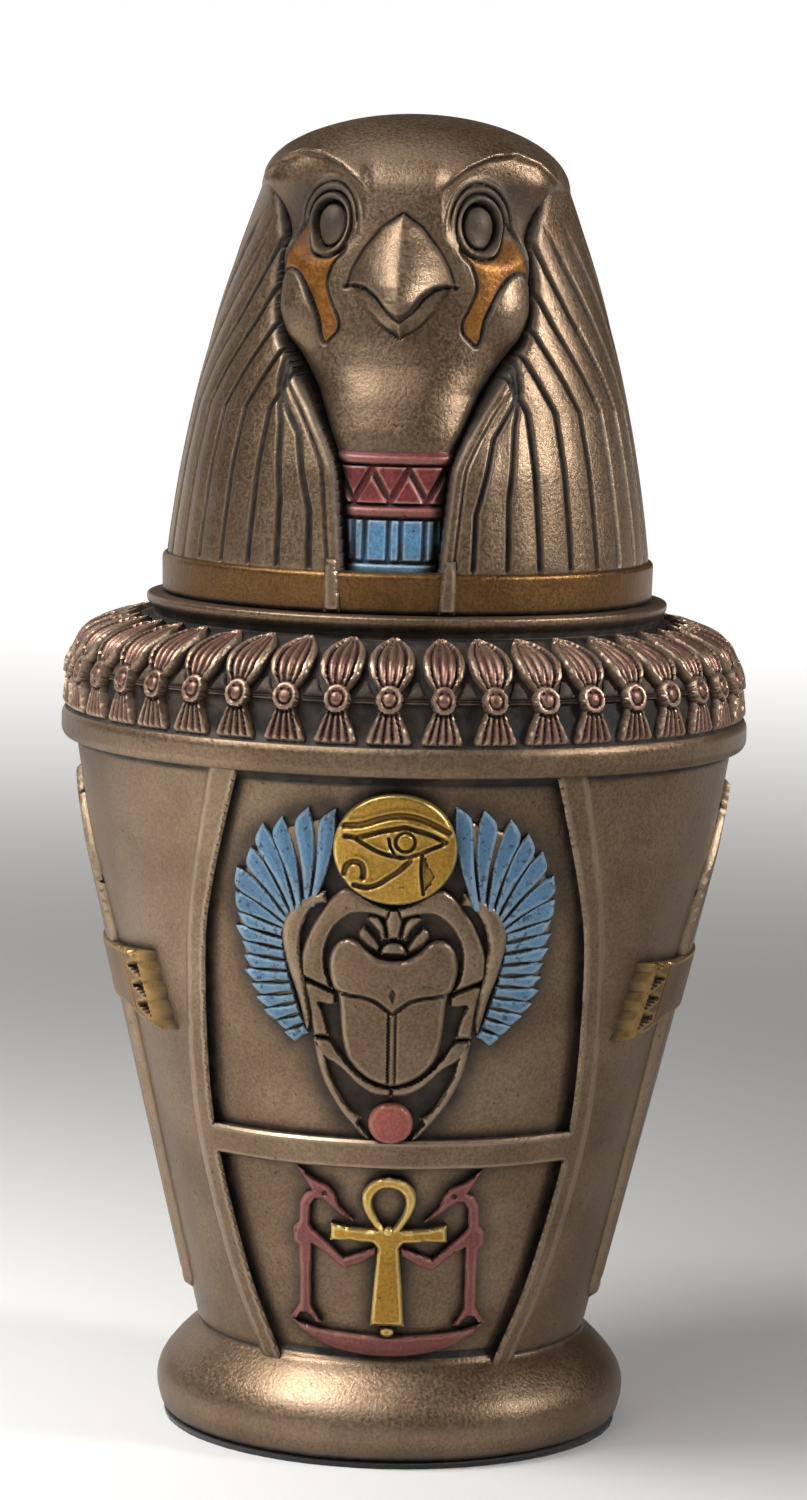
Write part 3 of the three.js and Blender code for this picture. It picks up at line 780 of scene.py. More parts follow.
def herons_and_boat(material):
    boat = np.vstack([smooth([(13.5, 20.0), (9, 18.9), (4, 18.5), (0, 18.4), (-4, 18.5),
                              (-9, 18.9), (-13.5, 20.0)], 50),
                      smooth([(-12.4, 18.6), (-8.6, 16.6), (-4, 15.6), (0, 15.3), (4, 15.6),
                              (8.6, 16.6), (12.4, 18.6)], 50)])

    def bird(x, z, edge):
        eye = np.hypot(np.abs(x) - 9.2, z - 40.0)
        top = HEIGHT["figure"] - 0.1 + 0.15 * np.clip(edge / 0.6, 0, 1)
        return top + rounded_edge(edge, 0.35) - 0.3 * smooth_step(0.5, 0.3, eye)

    def hull(x, z, edge):
        return HEIGHT["figure"] + 0.25 * np.clip(edge / 1.2, 0, 1) + rounded_edge(edge, 0.4)

    shapes = [([loop], bird) for loop in both_sides(HERON)] + [([boat], hull)]
    parts = [(relief(loops, top, 0.28, root=PANEL_ROOT), 0) for loops, top in shapes]
    return wall_piece("herons_and_boat", parts, material)


# ---------------------------------------------------------------- lotus frieze

FLOWERS = 42
FRIEZE_TURN = math.radians(3.0)
SHOULDER = [(49.3, 105.4), (49.3, 106.4), (48.8, 111), (48.3, 112.6), (47.6, 114), (45.8, 116.4),
            (38.9, 119.3), (36, 119.9)]
FLOWER = {"tip": 19.3, "boss": 6.3, "boss_radius": 1.85, "foot": 0.25}
FLOWER_HALF = [(0.2, 3.0), (0.8, 3.1), (2.6, 2.4), (4.4, 1.55), (5.4, 1.25), (7.4, 1.25),
               (8.4, 2.0), (9.6, 2.75), (11.2, 3.1), (13, 3.0), (15, 2.45), (17, 1.5),
               (18.6, 0.55), (19.3, 0.0)]


def shoulder_curve():
    """Place on the shoulder for a distance up from the band, and the way out from it."""
    line = smooth(SHOULDER, 200)
    along = np.concatenate([[0], np.cumsum(np.hypot(*np.diff(line, axis=0).T))])
    along -= np.interp(BAND["top"], line[:, 1], along)
    ahead = np.gradient(line, axis=0)
    out = np.column_stack([ahead[:, 1], -ahead[:, 0]]) / np.hypot(*ahead.T)[:, None]
    return along, line, out


def flower_half(t):
    boss = np.sqrt(np.clip(FLOWER["boss_radius"] ** 2 - (t - FLOWER["boss"]) ** 2, 0, None))
    return np.maximum(np.interp(t, *np.array(FLOWER_HALF).T), boss)


def flower_height(u, t, edge):
    """Fan of five petals, a boss with a bead in it, and a closed bud above."""
    s = u / np.maximum(flower_half(t), 0.3)
    lobes = np.abs(np.cos(2.5 * np.pi * s))
    fan = 0.55 + 0.7 * lobes ** 0.6 - 0.45 * smooth_step(1.0, 0.2, t) * lobes
    ribs = np.abs(np.cos(1.5 * np.pi * np.clip(s / 0.62, -1, 1)))
    sepal = smooth_step(0.6, 0.78, np.abs(s))
    bud = 1.0 + 0.55 * np.sqrt(np.clip(1 - s * s, 0, 1)) * smooth_step(19.4, 12, t)
    bud += np.where(np.abs(s) < 0.66, 0.6 * ribs ** 0.6 - 0.65, 0) + 0.28 * sepal
    away = np.hypot(u, t - FLOWER["boss"])
    boss = 1.5 + 0.15 * np.cos((away - 1.5) * 2.2)
    boss -= 0.4 * smooth_step(1.15, 0.95, away)
    boss += 0.8 * np.sqrt(np.clip(1 - (away / 0.95) ** 2, 0, 1))
    height = np.where(t > FLOWER["boss"], bud, fan)
    height = np.where(away < FLOWER["boss_radius"], boss, height)
    neck = np.exp(-(away - FLOWER["boss_radius"] - 0.15) ** 2 / 0.05)
    return height - 0.3 * neck + rounded_edge(edge, 0.3)


def lotus_frieze(material):
    rng = np.random.default_rng(3)
    along, line, out = shoulder_curve()
    t = np.concatenate([np.linspace(FLOWER["foot"], 8.6, 56), np.linspace(8.9, 18.9, 34)])
    right = np.column_stack([flower_half(t), t])
    loop = np.vstack([right, [(0, FLOWER["tip"])], mirrored(right)])
    bloom = relief([loop], flower_height, 0.26, root=-0.9)
    wedge = relief([np.array([(-1.3, 6.9), (1.3, 6.9), (0.35, 9.2), (-0.35, 9.2)])],
                   lambda u, t, edge: 0.45 + rounded_edge(edge, 0.3) + 0 * u, 0.4, root=-0.9)
    steps = np.array([(-1.7, 6.0), (1.7, 6.0), (1.6, 6.8), (-1.6, 6.8)])
    stairs = relief([steps], lambda u, t, edge: 0.3 + 0.15 * np.cos(t * 15.7), 0.2, root=-0.9)
    meshes, washed = [], []
    for place in range(FLOWERS):
        for (points, faces), shift in ((bloom, 0.5), (wedge, 0.0), (stairs, 0.0)):
            u, t, height = points.T.copy()
            # Painted shade, with antiquing: wedges and steps dark all over, flowers dark at their
            # feet.
            washed.append(np.where(shift, feet_of(points), 0.9))
            if shift:
                lean, grow = rng.normal(0, 0.02), 1 + rng.normal(0, 0.02)
                u = grow * u + lean * (t - FLOWER["boss"]) + 0.05 * rng.normal()
                height = height * (1 + rng.normal(0, 0.05))
            spot = np.column_stack([np.interp(t, along, line[:, k]) for k in (0, 1)])
            away = np.column_stack([np.interp(t, along, out[:, k]) for k in (0, 1)])
            raised = spot + away * (height - 0.35)[:, None]
            turn = 2 * np.pi * (place + shift) / FLOWERS + u / spot[:, 0] + FRIEZE_TURN
            meshes.append((about_axis(raised[:, 0], turn, raised[:, 1]), faces))
    return make_piece("lotus_frieze", *joined(meshes), material, "bronze_resin", passes=3,
                      masks={"washed": np.concatenate(washed)})


# ---------------------------------------------------------------- the lid's outer form

LID = {"foot": 35.7, "springing": 59.0, "crown": 10.9, "band": 5.9, "plug_radius": 31.2}
WIG_DEPTH = softened([(0, 35.6), (8, 35.2), (20, 33.4), (33, 29), (40, 25), (48, 22.6),
                      (59, 21.4)], 5)
FACE_DEPTH = softened([(0, 33.9), (20, 31.7), (25, 31.5), (30, 30), (34, 28), (38, 26.9),
                       (50, 25.6), (59, 24)], 4)
FACE_HALF = softened([(0, 6.6), (5, 7.0), (18, 8.2), (20.3, 8.5), (24, 10.0), (27.8, 12.0),
                      (31.5, 14.2), (34.5, 16), (38, 17.8), (42, 18.6), (46.3, 18.6),
                      (52, 18), (59, 19.5)], 2)
FACE_OVAL = 16.0
STRAND_PITCH = 9.0  # degrees between two grooves of the wig
LID_TURN = math.radians(-3)


def lid_side(h, slope=0.078, bend=0.0025):
    low = np.minimum(h, LID["springing"])
    return LID["foot"] - slope * low - bend * low * low


def crown_share(h):
    rise = np.clip((h - LID["springing"]) / LID["crown"], 0, 1)
    return np.sqrt(1 - rise * rise)


def polar_oval(angle, side, depth, power=2.0):
    across = np.abs(np.sin(angle)) / side
    ahead = np.abs(np.cos(angle)) / depth
    return (across ** power + ahead ** power) ** (-1 / power)


def wig_radius(angle, h):
    side = lid_side(h)
    back = polar_oval(angle, side, lid_side(h, 0.05, 0.0022))
    front = polar_oval(angle, side, WIG_DEPTH(h))
    return np.where(np.cos(angle) > 0, front, back) * crown_share(h)


def face_radius(angle, h):
    """The throat is part of a wider oval; the cheeks swell to the wig's own surface."""
    oval_half = np.clip(FACE_HALF(h) + 2.4, FACE_OVAL, lid_side(h) - 0.3)
    return polar_oval(angle, oval_half, FACE_DEPTH(h), 2.6) * crown_share(h)


# ---------------------------------------------------------------- beak, eyes and cheeks

BEAK_RIDGE = softened([(38, 27), (39.8, 28.4), (40.6, 30.6), (41.6, 32.4), (43.2, 33.2),
                       (45.6, 32.4), (48, 30.7), (51.8, 27.7), (56, 25.2)], 0.8)
KITE = [(7.6, 45.4), (6.7, 48), (5.3, 50.5), (2.8, 53.7), (0, 55.6)]
MOUTH = [(7.8, 45.3), (6.4, 45.6), (4.8, 45.3), (3.1, 44.0), (1.6, 42.0), (0, 40.7)]
MANDIBLE = softened([(38.2, 0.3), (39.5, 2.5), (42.2, 5.5), (45.2, 7.7)], 0.8)


def kite_half(h):
    """Half width of the upper beak: it widens from the brow to the corners of the mouth."""
    half, height = np.array(KITE).T
    return np.interp(h, height, half)


def mouth_height(x):
    order = np.array(MOUTH[::-1])
    return np.interp(x, order[:, 0], order[:, 1])


def beak_depth(x, h, face):
    """Distance in front of the axis of the beak's surface, or of the face where none is."""
    side = np.abs(x)
    half = np.maximum(kite_half(h), 0.01)
    share = np.clip(side / half, 0, 1)
    upper = face + np.maximum(BEAK_RIDGE(h) - face, 0.2) * (1 - share ** 1.6)
    low_half = np.maximum(MANDIBLE(h), 0.01)
    low_share = np.clip(side / low_half, 0, 1)
    lower = face + 1.5 * (1 - low_share) * smooth_step(38, 41, h)
    lower -= 0.5 * smooth_step(0, 0.5, low_share) * smooth_step(1.05, 0.8, low_share)
    closed_line = mouth_height(side)
    over = smooth_step(-0.3, 0.3, h - closed_line) * (side < 7.8)
    within = (side < np.where(h > closed_line, half, low_half)) & (h > 38) & (h < 55.6)
    depth = np.where(within, lower * (1 - over) + upper * over, face)
    depth += groove(distance([np.array(MOUTH)], side, h), 0.6, 0.5)
    return depth + groove(distance([np.array(KITE)], side, h), 0.5, 0.3)


EYE = {"x": 11.5, "h": 53.9, "half_width": 2.65, "half_height": 3.35}
BROW = [(4.6, 58.9), (6.4, 60.6), (8.8, 62.6), (12, 64.2), (15, 64.5), (18, 63.2), (20, 61.2),
        (22.4, 58.5)]


def eye_relief(x, h):
    """Ball, lid ring and the rolls above it, round an eye in front view."""
    dx, dh = np.abs(x) - EYE["x"], h - EYE["h"]
    q = np.hypot(dx / EYE["half_width"], dh / EYE["half_height"])
    above = smooth_step(-0.35, 0.45, dh / np.maximum(np.hypot(dx, dh), 0.01))
    top = np.where(q < 1, 1.9 * np.sqrt(np.clip(1 - (q / 0.97) ** 2, 0, 1)) - 1.0, 0)
    top += 0.85 * np.exp(-((q - 1.2) / 0.15) ** 4)
    top -= 0.6 * faded(q - 1.01, 0.08)
    top -= 0.3 * faded(q - 1.4, 0.05)
    top += above * (0.5 * np.exp(-((q - 1.6) / 0.16) ** 4) - 0.3 * faded(q - 1.8, .05))
    top += above * 0.3 * np.exp(-((q - 1.98) / 0.14) ** 4)
    return top


def brow_relief(x, h):
    """A sharp overhanging brow that rises outwards from the beak, and the socket under it."""
    side = np.abs(x)
    order = np.array(BROW)
    brow = np.interp(side, order[:, 0], order[:, 1])
    below = brow - h
    within = smooth_step(4.2, 6.2, side) * smooth_step(22.4, 19.5, side)
    ridge = 0.9 * np.where(below > 0, faded(below, 0.45), faded(below, 2.4))
    away = np.hypot((side - 13.0) / 8.4, (h - 56.6) / 9.0)
    bowl = smooth_step(1.0, 0.4, away) * smooth_step(0.0, 1.2, below)
    return within * (ridge - 2.7 * bowl), within * bowl


CHEEK_MARK = [(8.3, 50.9), (9.4, 50.1), (11.4, 49.6), (13.2, 49.8), (14.6, 51.7), (15.5, 54.3),
              (16.4, 53.3), (17.2, 50.4), (17.9, 46.0), (17.0, 47.4), (15.6, 47.3), (14.4, 46.1),
              (13.2, 43.9), (11.9, 40.9), (11.4, 38.5), (10.8, 37.2), (9.8, 38.0), (8.8, 39.2),
              (8.8, 40.7), (9.7, 42.6), (10.5, 44.7), (10.6, 46.1), (9.8, 48.5), (8.5, 50)]
CHEEK_LOBE = {"x": 15.6, "h": 41.0, "half_width": 4.2, "half_height": 6.0}


def cheek_relief(x, h):
    """The eye's mark, sunk between cut lines, and the rounded cheek outside its tail."""
    side = np.abs(x)
    loop = smooth(CHEEK_MARK, 110, closed=True)
    mark = inside([loop], side, h)
    away = distance([closed(loop)], side, h)
    top = -0.18 * mark + groove(away, 0.5, 0.42)
    lobe = np.hypot((side - CHEEK_LOBE["x"]) / CHEEK_LOBE["half_width"],
                    (h - CHEEK_LOBE["h"]) / CHEEK_LOBE["half_height"])
    top += 1.1 * smooth_step(1.15, 0.2, lobe) * ~mark
    return top, mark & (away > 0.05), faded(away, 0.35)


# ---------------------------------------------------------------- collar between the lappets

def collar_relief(x, h):
    """Rolls, a zigzag row and upright bars. Returns height and the masks of its two paints."""
    inner = 8.3 - (22.3 - h) * 0.105
    there = (np.abs(x) < inner) & (h > 4.8) & (h < 22.5)
    red, blue = there & (h > 13.2), there & (h <= 13.2)
    top = np.zeros(x.shape)
    for low, high in ((20.75, 22.25), (13.4, 15.0)):
        roll = np.clip(1 - ((h - 0.5 * (low + high)) / (0.5 * (high - low))) ** 2, 0, 1)
        top += there * 0.7 * np.sqrt(roll)
    zigzag = (h > 15.3) & (h < 20.45) & there
    wave = 15.6 + 4.5 * np.abs(((x - 2.1) / 5.15) % 1 - 0.5) * 2
    top += zigzag * (0.45 + groove((h - wave) * 0.5, 0.95, 0.6))
    bars = there & (h > 7.3) & (h < 13.0)
    phase = (x - 0.35) / 5.0 % 1
    slot = np.minimum(np.abs(phase - 0.17), np.abs(phase - 0.83)) * 5.0
    top += bars * (0.4 + groove(slot, 0.75, 0.6))
    top += there * 0.45 * ((h > 5.5) & (h < 7.0))
    line = there & ((h < 5.4) | ((h > 13.0) & (h < 13.4)) | ((h > 20.45) & (h < 20.7))
                    | ((h > 15.0) & (h < 15.3)) | ((h > 7.0) & (h < 7.3)))
    return top - 0.25 * line, red, blue


# ---------------------------------------------------------------- strands of the wig

# The first grooves beside the throat follow the face's outline outwards as they rise.
LEANING = {2: [(0, 18.4), (14, 20), (24.5, 25.5), (30, 33), (60, 36)],
           3: [(0, 27), (16, 28.4), (26, 31.5), (31, 34.6), (60, 38)]}


def strand_relief(angle, h):
    """Cut lines between rounded strands, dying out towards the crown, and the lines' mask."""
    turn = np.degrees(np.abs(angle))
    share = np.interp(turn, [60, 120, 180], [1, 0.3, 0])
    straight = turn + 0.95 * np.maximum(0, h - 28) * share
    radius = wig_radius(angle, h)
    fourth = 4 * STRAND_PITCH
    phase = straight / STRAND_PITCH
    away = np.abs(phase - np.round(phase)) * np.radians(STRAND_PITCH) * radius
    away = np.where(straight < fourth - 0.5 * STRAND_PITCH, 9, away)
    pillow = np.sin(np.pi * (phase % 1)) ** 2 * 0.12
    for stations in LEANING.values():
        line = np.interp(h, *np.array(stations).T)
        away = np.minimum(away, np.abs(turn - line) * np.radians(1) * radius)
    fade = smooth_step(LID["band"] - 0.4, LID["band"] + 0.6, h) * smooth_step(57, 50, h)
    fade *= smooth_step(62, 46, h + 3 * np.sin(7 * np.round(phase)))
    line = np.minimum(1, 1.3 * faded(away, 0.48))
    return (groove(away, 0.8, 0.7) + pillow) * fade, line * fade


# ---------------------------------------------------------------- the carved lid

# The face curves in under the wig's edge, and the wig curves in towards the face.
FACE_ROLL = {"width": 2.6, "depth": 1.9}
WIG_LIP = {"width": 1.1, "depth": 0.7}


def rolled_under(share):
    share = np.clip(share, 0, 1)
    return 1 - np.sqrt(1 - share * share * 0.97)


def lid_surface(angle, h):
    """Distance from the axis of the carved lid, with its paint masks."""
    wig = wig_radius(angle, h)
    smooth_face = face_radius(angle, h)
    forward = np.cos(angle) > 0.2
    ahead = np.abs(angle) < 0.6
    x = smooth_face * np.sin(angle)
    # Out along a direction from the axis, x settles where the beak's surface is met.
    for _ in range(4):
        depth = beak_depth(x, h, smooth_face * np.cos(angle))
        x = np.where(ahead, 0.4 * x + 0.6 * depth * np.tan(np.where(ahead, angle, 0)), x)
    beak = np.where(ahead, depth / np.cos(angle), smooth_face)
    # s is how far round the front a point lies past the edge between the face and the wig.
    s = np.abs(np.sin(angle)) * wig - FACE_HALF(h) * crown_share(h)
    below_brow = smooth_step(62, 56, h)
    face = beak - FACE_ROLL["depth"] * rolled_under(1 + s / FACE_ROLL["width"]) * below_brow
    signed = smooth_face * np.sin(angle)
    brow, socket = brow_relief(signed, h)
    face = face + np.where(h > 36, eye_relief(signed, h) + brow, 0)
    cheek, gilt, mark_line = cheek_relief(signed, h)
    collar, red, blue = collar_relief(signed, h)
    face = face + cheek + collar
    lip = WIG_LIP["depth"] * rolled_under(1 - s / WIG_LIP["width"]) * forward
    edge_line = forward * groove(s - 1.7, 0.5, 0.4) * smooth_step(36, 26, h)
    strands, strand_line = strand_relief(angle, h)
    locks = wig - lip * below_brow + strands + edge_line
    in_face = forward & (s < 0)
    radius = np.where(in_face, face, locks)
    # Above the brow the face and the wig are one smooth crown.
    crown = np.where(forward, np.maximum(smooth_face, wig) + brow, wig)
    merged = smooth_step(59, 63, h)
    radius = radius * (1 - merged) + crown * merged
    red, blue, gilt = (mask & in_face for mask in (red, blue, gilt))
    side = np.abs(x)
    # Antiquing in the cut lines of beak, cheek mark and wig; painted shade in the eye sockets and
    # along the crease where the face tucks under the wig.
    mouth = faded(distance([np.array(MOUTH)], side, h), 0.4)
    kite = 0.6 * faded(distance([np.array(KITE)], side, h), 0.35)
    throat = 0.85 * faded(s + 0.2, 0.7) * below_brow * forward
    carved = np.maximum(np.maximum(mouth, kite) * (h > 37), np.maximum(mark_line, 0.7 * socket))
    washed = np.maximum(np.where(in_face, carved, strand_line), throat) * (1 - merged)
    return radius, {"gilt": gilt, "red": red, "blue": blue, "washed": washed}


def lid_rows(count):
    """Heights up the bell, then round the crown, evenly along the surface."""
    bell = np.linspace(LID["band"] - 1.2, LID["springing"], count)
    turn = np.linspace(0, np.pi / 2, count // 3)[1:]
    return np.concatenate([bell, LID["springing"] + LID["crown"] * np.sin(turn)])


FACE_TURN = 62.0  # degrees either side of the front that the finer mesh covers


def lid_place(angle):
    """Direction on the jar of a direction on the lid, which sits turned a little."""
    return angle + LID_TURN


def lid_part(name, angles, rows, material):
    h = lid_rows(rows)[:-1]
    turn, height = np.meshgrid(angles, h)
    radius, masks = lid_surface(turn, height)
    points = about_axis(radius, lid_place(turn), LID_SEAT + height)
    top = len(points)
    last = top - len(angles)
    points = np.vstack([points, [(0, 0, LID_SEAT + LID["springing"] + LID["crown"])]])
    cap = [(last + i, last + i + 1, top) for i in range(len(angles) - 1)]
    faces = grid_faces(len(h), len(angles), False)
    faces = np.vstack([faces[:, [0, 1, 2]], faces[:, [0, 2, 3]], cap])
    masks = {key: np.append(value.ravel(), False) for key, value in masks.items()}
    return make_piece(name, points, faces, material, "bronze_resin", crease=75, passes=4,
                      masks=masks)


def lid_face(material):
    angles = np.radians(np.linspace(-FACE_TURN, FACE_TURN, 341))
    piece = lid_part("lid_face", angles, 212, material)
    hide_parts("lid")
    return piece


def lid_wig(material):
    angles = np.radians(np.linspace(FACE_TURN, 360 - FACE_TURN, 341))
    angles = np.where(angles > np.pi, angles - 2 * np.pi, angles)
    return lid_part("lid_wig", angles, 150, material)


def turned_piece(name, corners, step, columns, material):
    """A ring or disc of the lid from (radius, height, rounding) corners."""
    profile = turned_profile(corners, step)
    points = about_axis(profile[:, :1], full_circle(columns), profile[:, 1:] + LID_SEAT)
    faces = grid_faces(len(profile), columns, True)
    return make_piece(name, points, faces, material, "bronze_resin")


def lid_band(material):
    foot, top = LID["foot"], LID["band"]
    corners = [(30, 0.0, 0), (foot - 0.4, 0.0, 0.3), (foot + 0.15, 0.5, 0.4),
               (foot + 0.25, top - 0.5, 0.4), (foot - 0.3, top, 0.4), (33.4, top + 0.05, 0)]
    return turned_piece("lid_band", corners, 0.5, 300, material)


def lid_plug(material):
    radius = LID["plug_radius"]
    corners = [(0, -PLUG_HEIGHT, 0), (radius - 0.4, -PLUG_HEIGHT, 0.4),
               (radius, -PLUG_HEIGHT + 0.6, 0.4), (radius, 0.05, 0), (30, 0.1, 0)]
    return turned_piece("lid_plug", corners, 1.0, 200, material)


def lappet_ends(material):
    """The wig's two front ends, which run down over the gilt band."""
    loop = [(6.9, 0.25), (9.2, 0.25), (9.3, 4), (9.1, 7.6), (7.6, 7.6), (7.1, 4)]

    def height(x, z, edge):
        return 0.75 + rounded_edge(edge, 0.5) + 0 * x

    meshes = []
    for side in both_sides(loop):
        points, faces = relief([side], height, 0.35, root=-0.6)
        x, h, lift = points.T
        radius = LID["foot"] + 0.1 - 0.03 * h + lift
        turn = lid_place(np.arcsin(x / radius))
        meshes.append((about_axis(radius, turn, LID_SEAT + h), faces))
    return make_piece("lappet_ends", *joined(meshes), material, "bronze_resin")


# ---------------------------------------------------------------- felt pad

def felt_pad(material):
    rng = np.random.default_rng(11)
    radius, top = PAD_HIGH[0], PAD_HIGH[2]
    profile = turned_profile([(0, 0, 0), (radius - 0.1, 0, 0.1), (radius, 0.2, 0.15),
                              (radius, top - 0.05, 0), (radius - 1.4, top + 0.05, 0)], 1.4)
    columns = 240
    ragged = 1 - 0.004 * rng.random(columns) * (profile[:, :1] > radius - 2)
    points = about_axis(profile[:, :1] * ragged, full_circle(columns), profile[:, 1:])
    piece = make_piece("felt_underside", points, grid_faces(len(profile), columns, True),
                       material, "felt")
    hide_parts("felt_pad")
    return piece


# ---------------------------------------------------------------- finishes

def rgba(code):
    return (*linear(code), 1.0)


def add(tree, kind, *inputs, out="", **named):
    """Adds a node, feeds its inputs with values or outputs, and returns the output asked for.

    kind is the node's type, alone or with its settings. Inputs go in order to the ones in use.
    """
    kind, settings = kind if isinstance(kind, tuple) else (kind, {})
    node = tree.nodes.new(kind)
    for key, value in settings.items():
        setattr(node, key, value)
    used = [socket for socket in node.inputs if socket.enabled]
    fed = list(zip(used, inputs)) + [(node.inputs[key], named[key]) for key in named]
    for socket, value in fed:
        if isinstance(value, bpy.types.NodeSocket):
            tree.links.new(value, socket)
        else:
            socket.default_value = value
    return next((o for o in node.outputs if o.enabled and out in ("", o.name)), None)


NOISE = "ShaderNodeTexNoise"  # place, blotches a millimetre, detail, roughness
MIXED = ("ShaderNodeMix", {"data_type": "RGBA"})
TINTED = ("ShaderNodeMix", {"data_type": "RGBA", "blend_type": "MULTIPLY"})
BETWEEN = ("ShaderNodeMix", {"data_type": "FLOAT"})
TIMES = ("ShaderNodeMath", {"operation": "MULTIPLY"})
TIMES_HELD = ("ShaderNodeMath", {"operation": "MULTIPLY", "use_clamp": True})
PLUS = ("ShaderNodeMath", {"operation": "ADD"})
LARGER = ("ShaderNodeMath", {"operation": "MAXIMUM"})
SCALED = ("ShaderNodeVectorMath", {"operation": "SCALE"})
LENGTH = ("ShaderNodeVectorMath", {"operation": "LENGTH"})
# Carries a value from one range to another, smoothly and held at both ends.
SPREAD = ("ShaderNodeMapRange", {"interpolation_type": "SMOOTHSTEP"})


def mask(name):
    return "ShaderNodeAttribute", {"attribute_name": name}


# Millimetres across. The real powder is finer than the grain, which is drawn as coarse as it
# needs to show.
CLOUD, PATCH, PIT, BRUSH_MARK, GRAIN = 16, 3.2, 0.9, 0.55, 0.5

BRONZE = {
    "tones": ("#85705b", "#6d5945"), "bright": "#bda88f", "wash_and_shade": "#14110f",
    "metallic": 0.85, "roughness": 0.41, "wear": 0.34, "edge": 0.13, "reach": 3.2,
    "corner": (0.84, 0.42), "dirt_and_shade": 0.97, "grain": 0.24, "grain_depth": 0.07, "streak": 0.03,
    "ripple": 0.06, "pits": (0.68, 0.74),
}
GOLD = {"tones": ("#b08a3c", "#96702c"), "bright": "#ead08a", "wash_and_shade": "#251b10",
        "metallic": 0.85, "roughness": 0.36}
BLUE = {"tones": ("#577f9f", "#466a88"), "bright": "#94a9b3", "wash_and_shade": "#1c1f20",
        "metallic": 0.1, "roughness": 0.5, "pits": (0.58, 0.68)}
RED = {"tones": ("#7a4240", "#673530"), "bright": "#a9776b", "wash_and_shade": "#20120f",
       "metallic": 0.3, "roughness": 0.42}
LID_PAINTS = {
    "gilt": {"tones": ("#8f5d24", "#75491c"), "worn": "#b58a52", "wear": 0.5, "metallic": 0.6},
    "red": {"tones": ("#7f3537", "#692d2f"), "worn": "#a9645c", "wear": 0.5, "metallic": 0.3},
    "blue": {"tones": ("#5587ad", "#4f7894"), "worn": "#9fb6c0", "wear": 0.5, "metallic": 0.1},
}

LOOKS = {
    # Bronze-powder resin, cast and rubbed back: a satin brown metal with dark hollows,
    # which are antiqued and given painted shade.
    "bronze_resin_cast": BRONZE,
    # The same casting on the falcon's face, with three brushed paints between cut lines.
    "bronze_resin_painted": {**BRONZE, "paints": LID_PAINTS},
    # Gilt paint over the same casting: yellower, brighter on its edges.
    "gilt_paint_brushed": {**BRONZE, **GOLD, "wear": 0.6},
    # Matt blue enamel, thin on the edges so that bronze shows through.
    "blue_enamel_brushed": {**BRONZE, **BLUE, "wear": 0.5, "grain": 0.14},
    # Brick red lacquer, slightly metallic because the bronze shows through it.
    "red_lacquer_brushed": {**BRONZE, **RED, "wear": 0.4},
    # Coral red lacquer with a soft gloss, for the scarab's ball.
    "coral_lacquer_brushed": {**BRONZE, **RED, "tones": ("#a4554f", "#8a4a3a"), "wear": 0.4},
    # Bronze with a thin wine-red wash left between its ribs.
    "bronze_resin_red_washed": {**BRONZE, "tones": ("#86695a", "#744b43"), "wear": 0.65,
                                "wash_and_shade": "#1c1513", "corner": (0.84, 0.35)},
    # Old gilt, darker and redder, on the lid's band and the side clips.
    "old_gilt_rubbed": {**BRONZE, "tones": ("#785832", "#5c4022"), "bright": "#bfa067",
                        "wear": 0.45, "roughness": 0.4},
}


def painted_areas(node, look, base, hollow, patch):
    """Lays enamel on the bare colour where the mesh's masks choose. Returns colour and metal."""
    metal = look["metallic"]
    for name, paint in look.get("paints", {}).items():
        there = node(SPREAD, node(mask(name), out="Fac"), 0.35, 0.65)
        shade = node(MIXED, node(SPREAD, patch, 0.35, 0.65), *map(rgba, paint["tones"]))
        worn = node(SPREAD, hollow, -0.03, -0.14, 0, paint["wear"])
        shade = node(MIXED, worn, shade, rgba(paint["worn"]))
        base = node(MIXED, there, base, shade)
        metal = node(BETWEEN, there, metal, paint["metallic"])
    return base, metal


def wash_and_shade_share(node, look, place, hollow, patch):
    """How much dark antiquing lies in cut lines and pits, and how much painted shade in corners;
    both gather round the foot of each ornament.
    """
    # Painted shade: darker where ambient occlusion finds other surfaces close by.
    open_sky = node(("ShaderNodeAmbientOcclusion", {"samples": 8}),
                    Distance=look["reach"] * MM, out="AO")
    corner = node(SPREAD, open_sky, *look["corner"])
    cut = node(SPREAD, hollow, 0.01, look["edge"])
    pits = node(SPREAD, node(NOISE, place, 1 / PIT, 2, 0.55), *look["pits"], 0, 0.7)
    dark = node(LARGER, node(LARGER, corner, cut), pits)
    dark = node(LARGER, dark, node(mask("washed"), out="Fac"))
    patchy = node(SPREAD, patch, 0.35, 0.65, 0.85, 1.1)
    return node(TIMES_HELD, node(TIMES, dark, patchy), look["dirt_and_shade"])


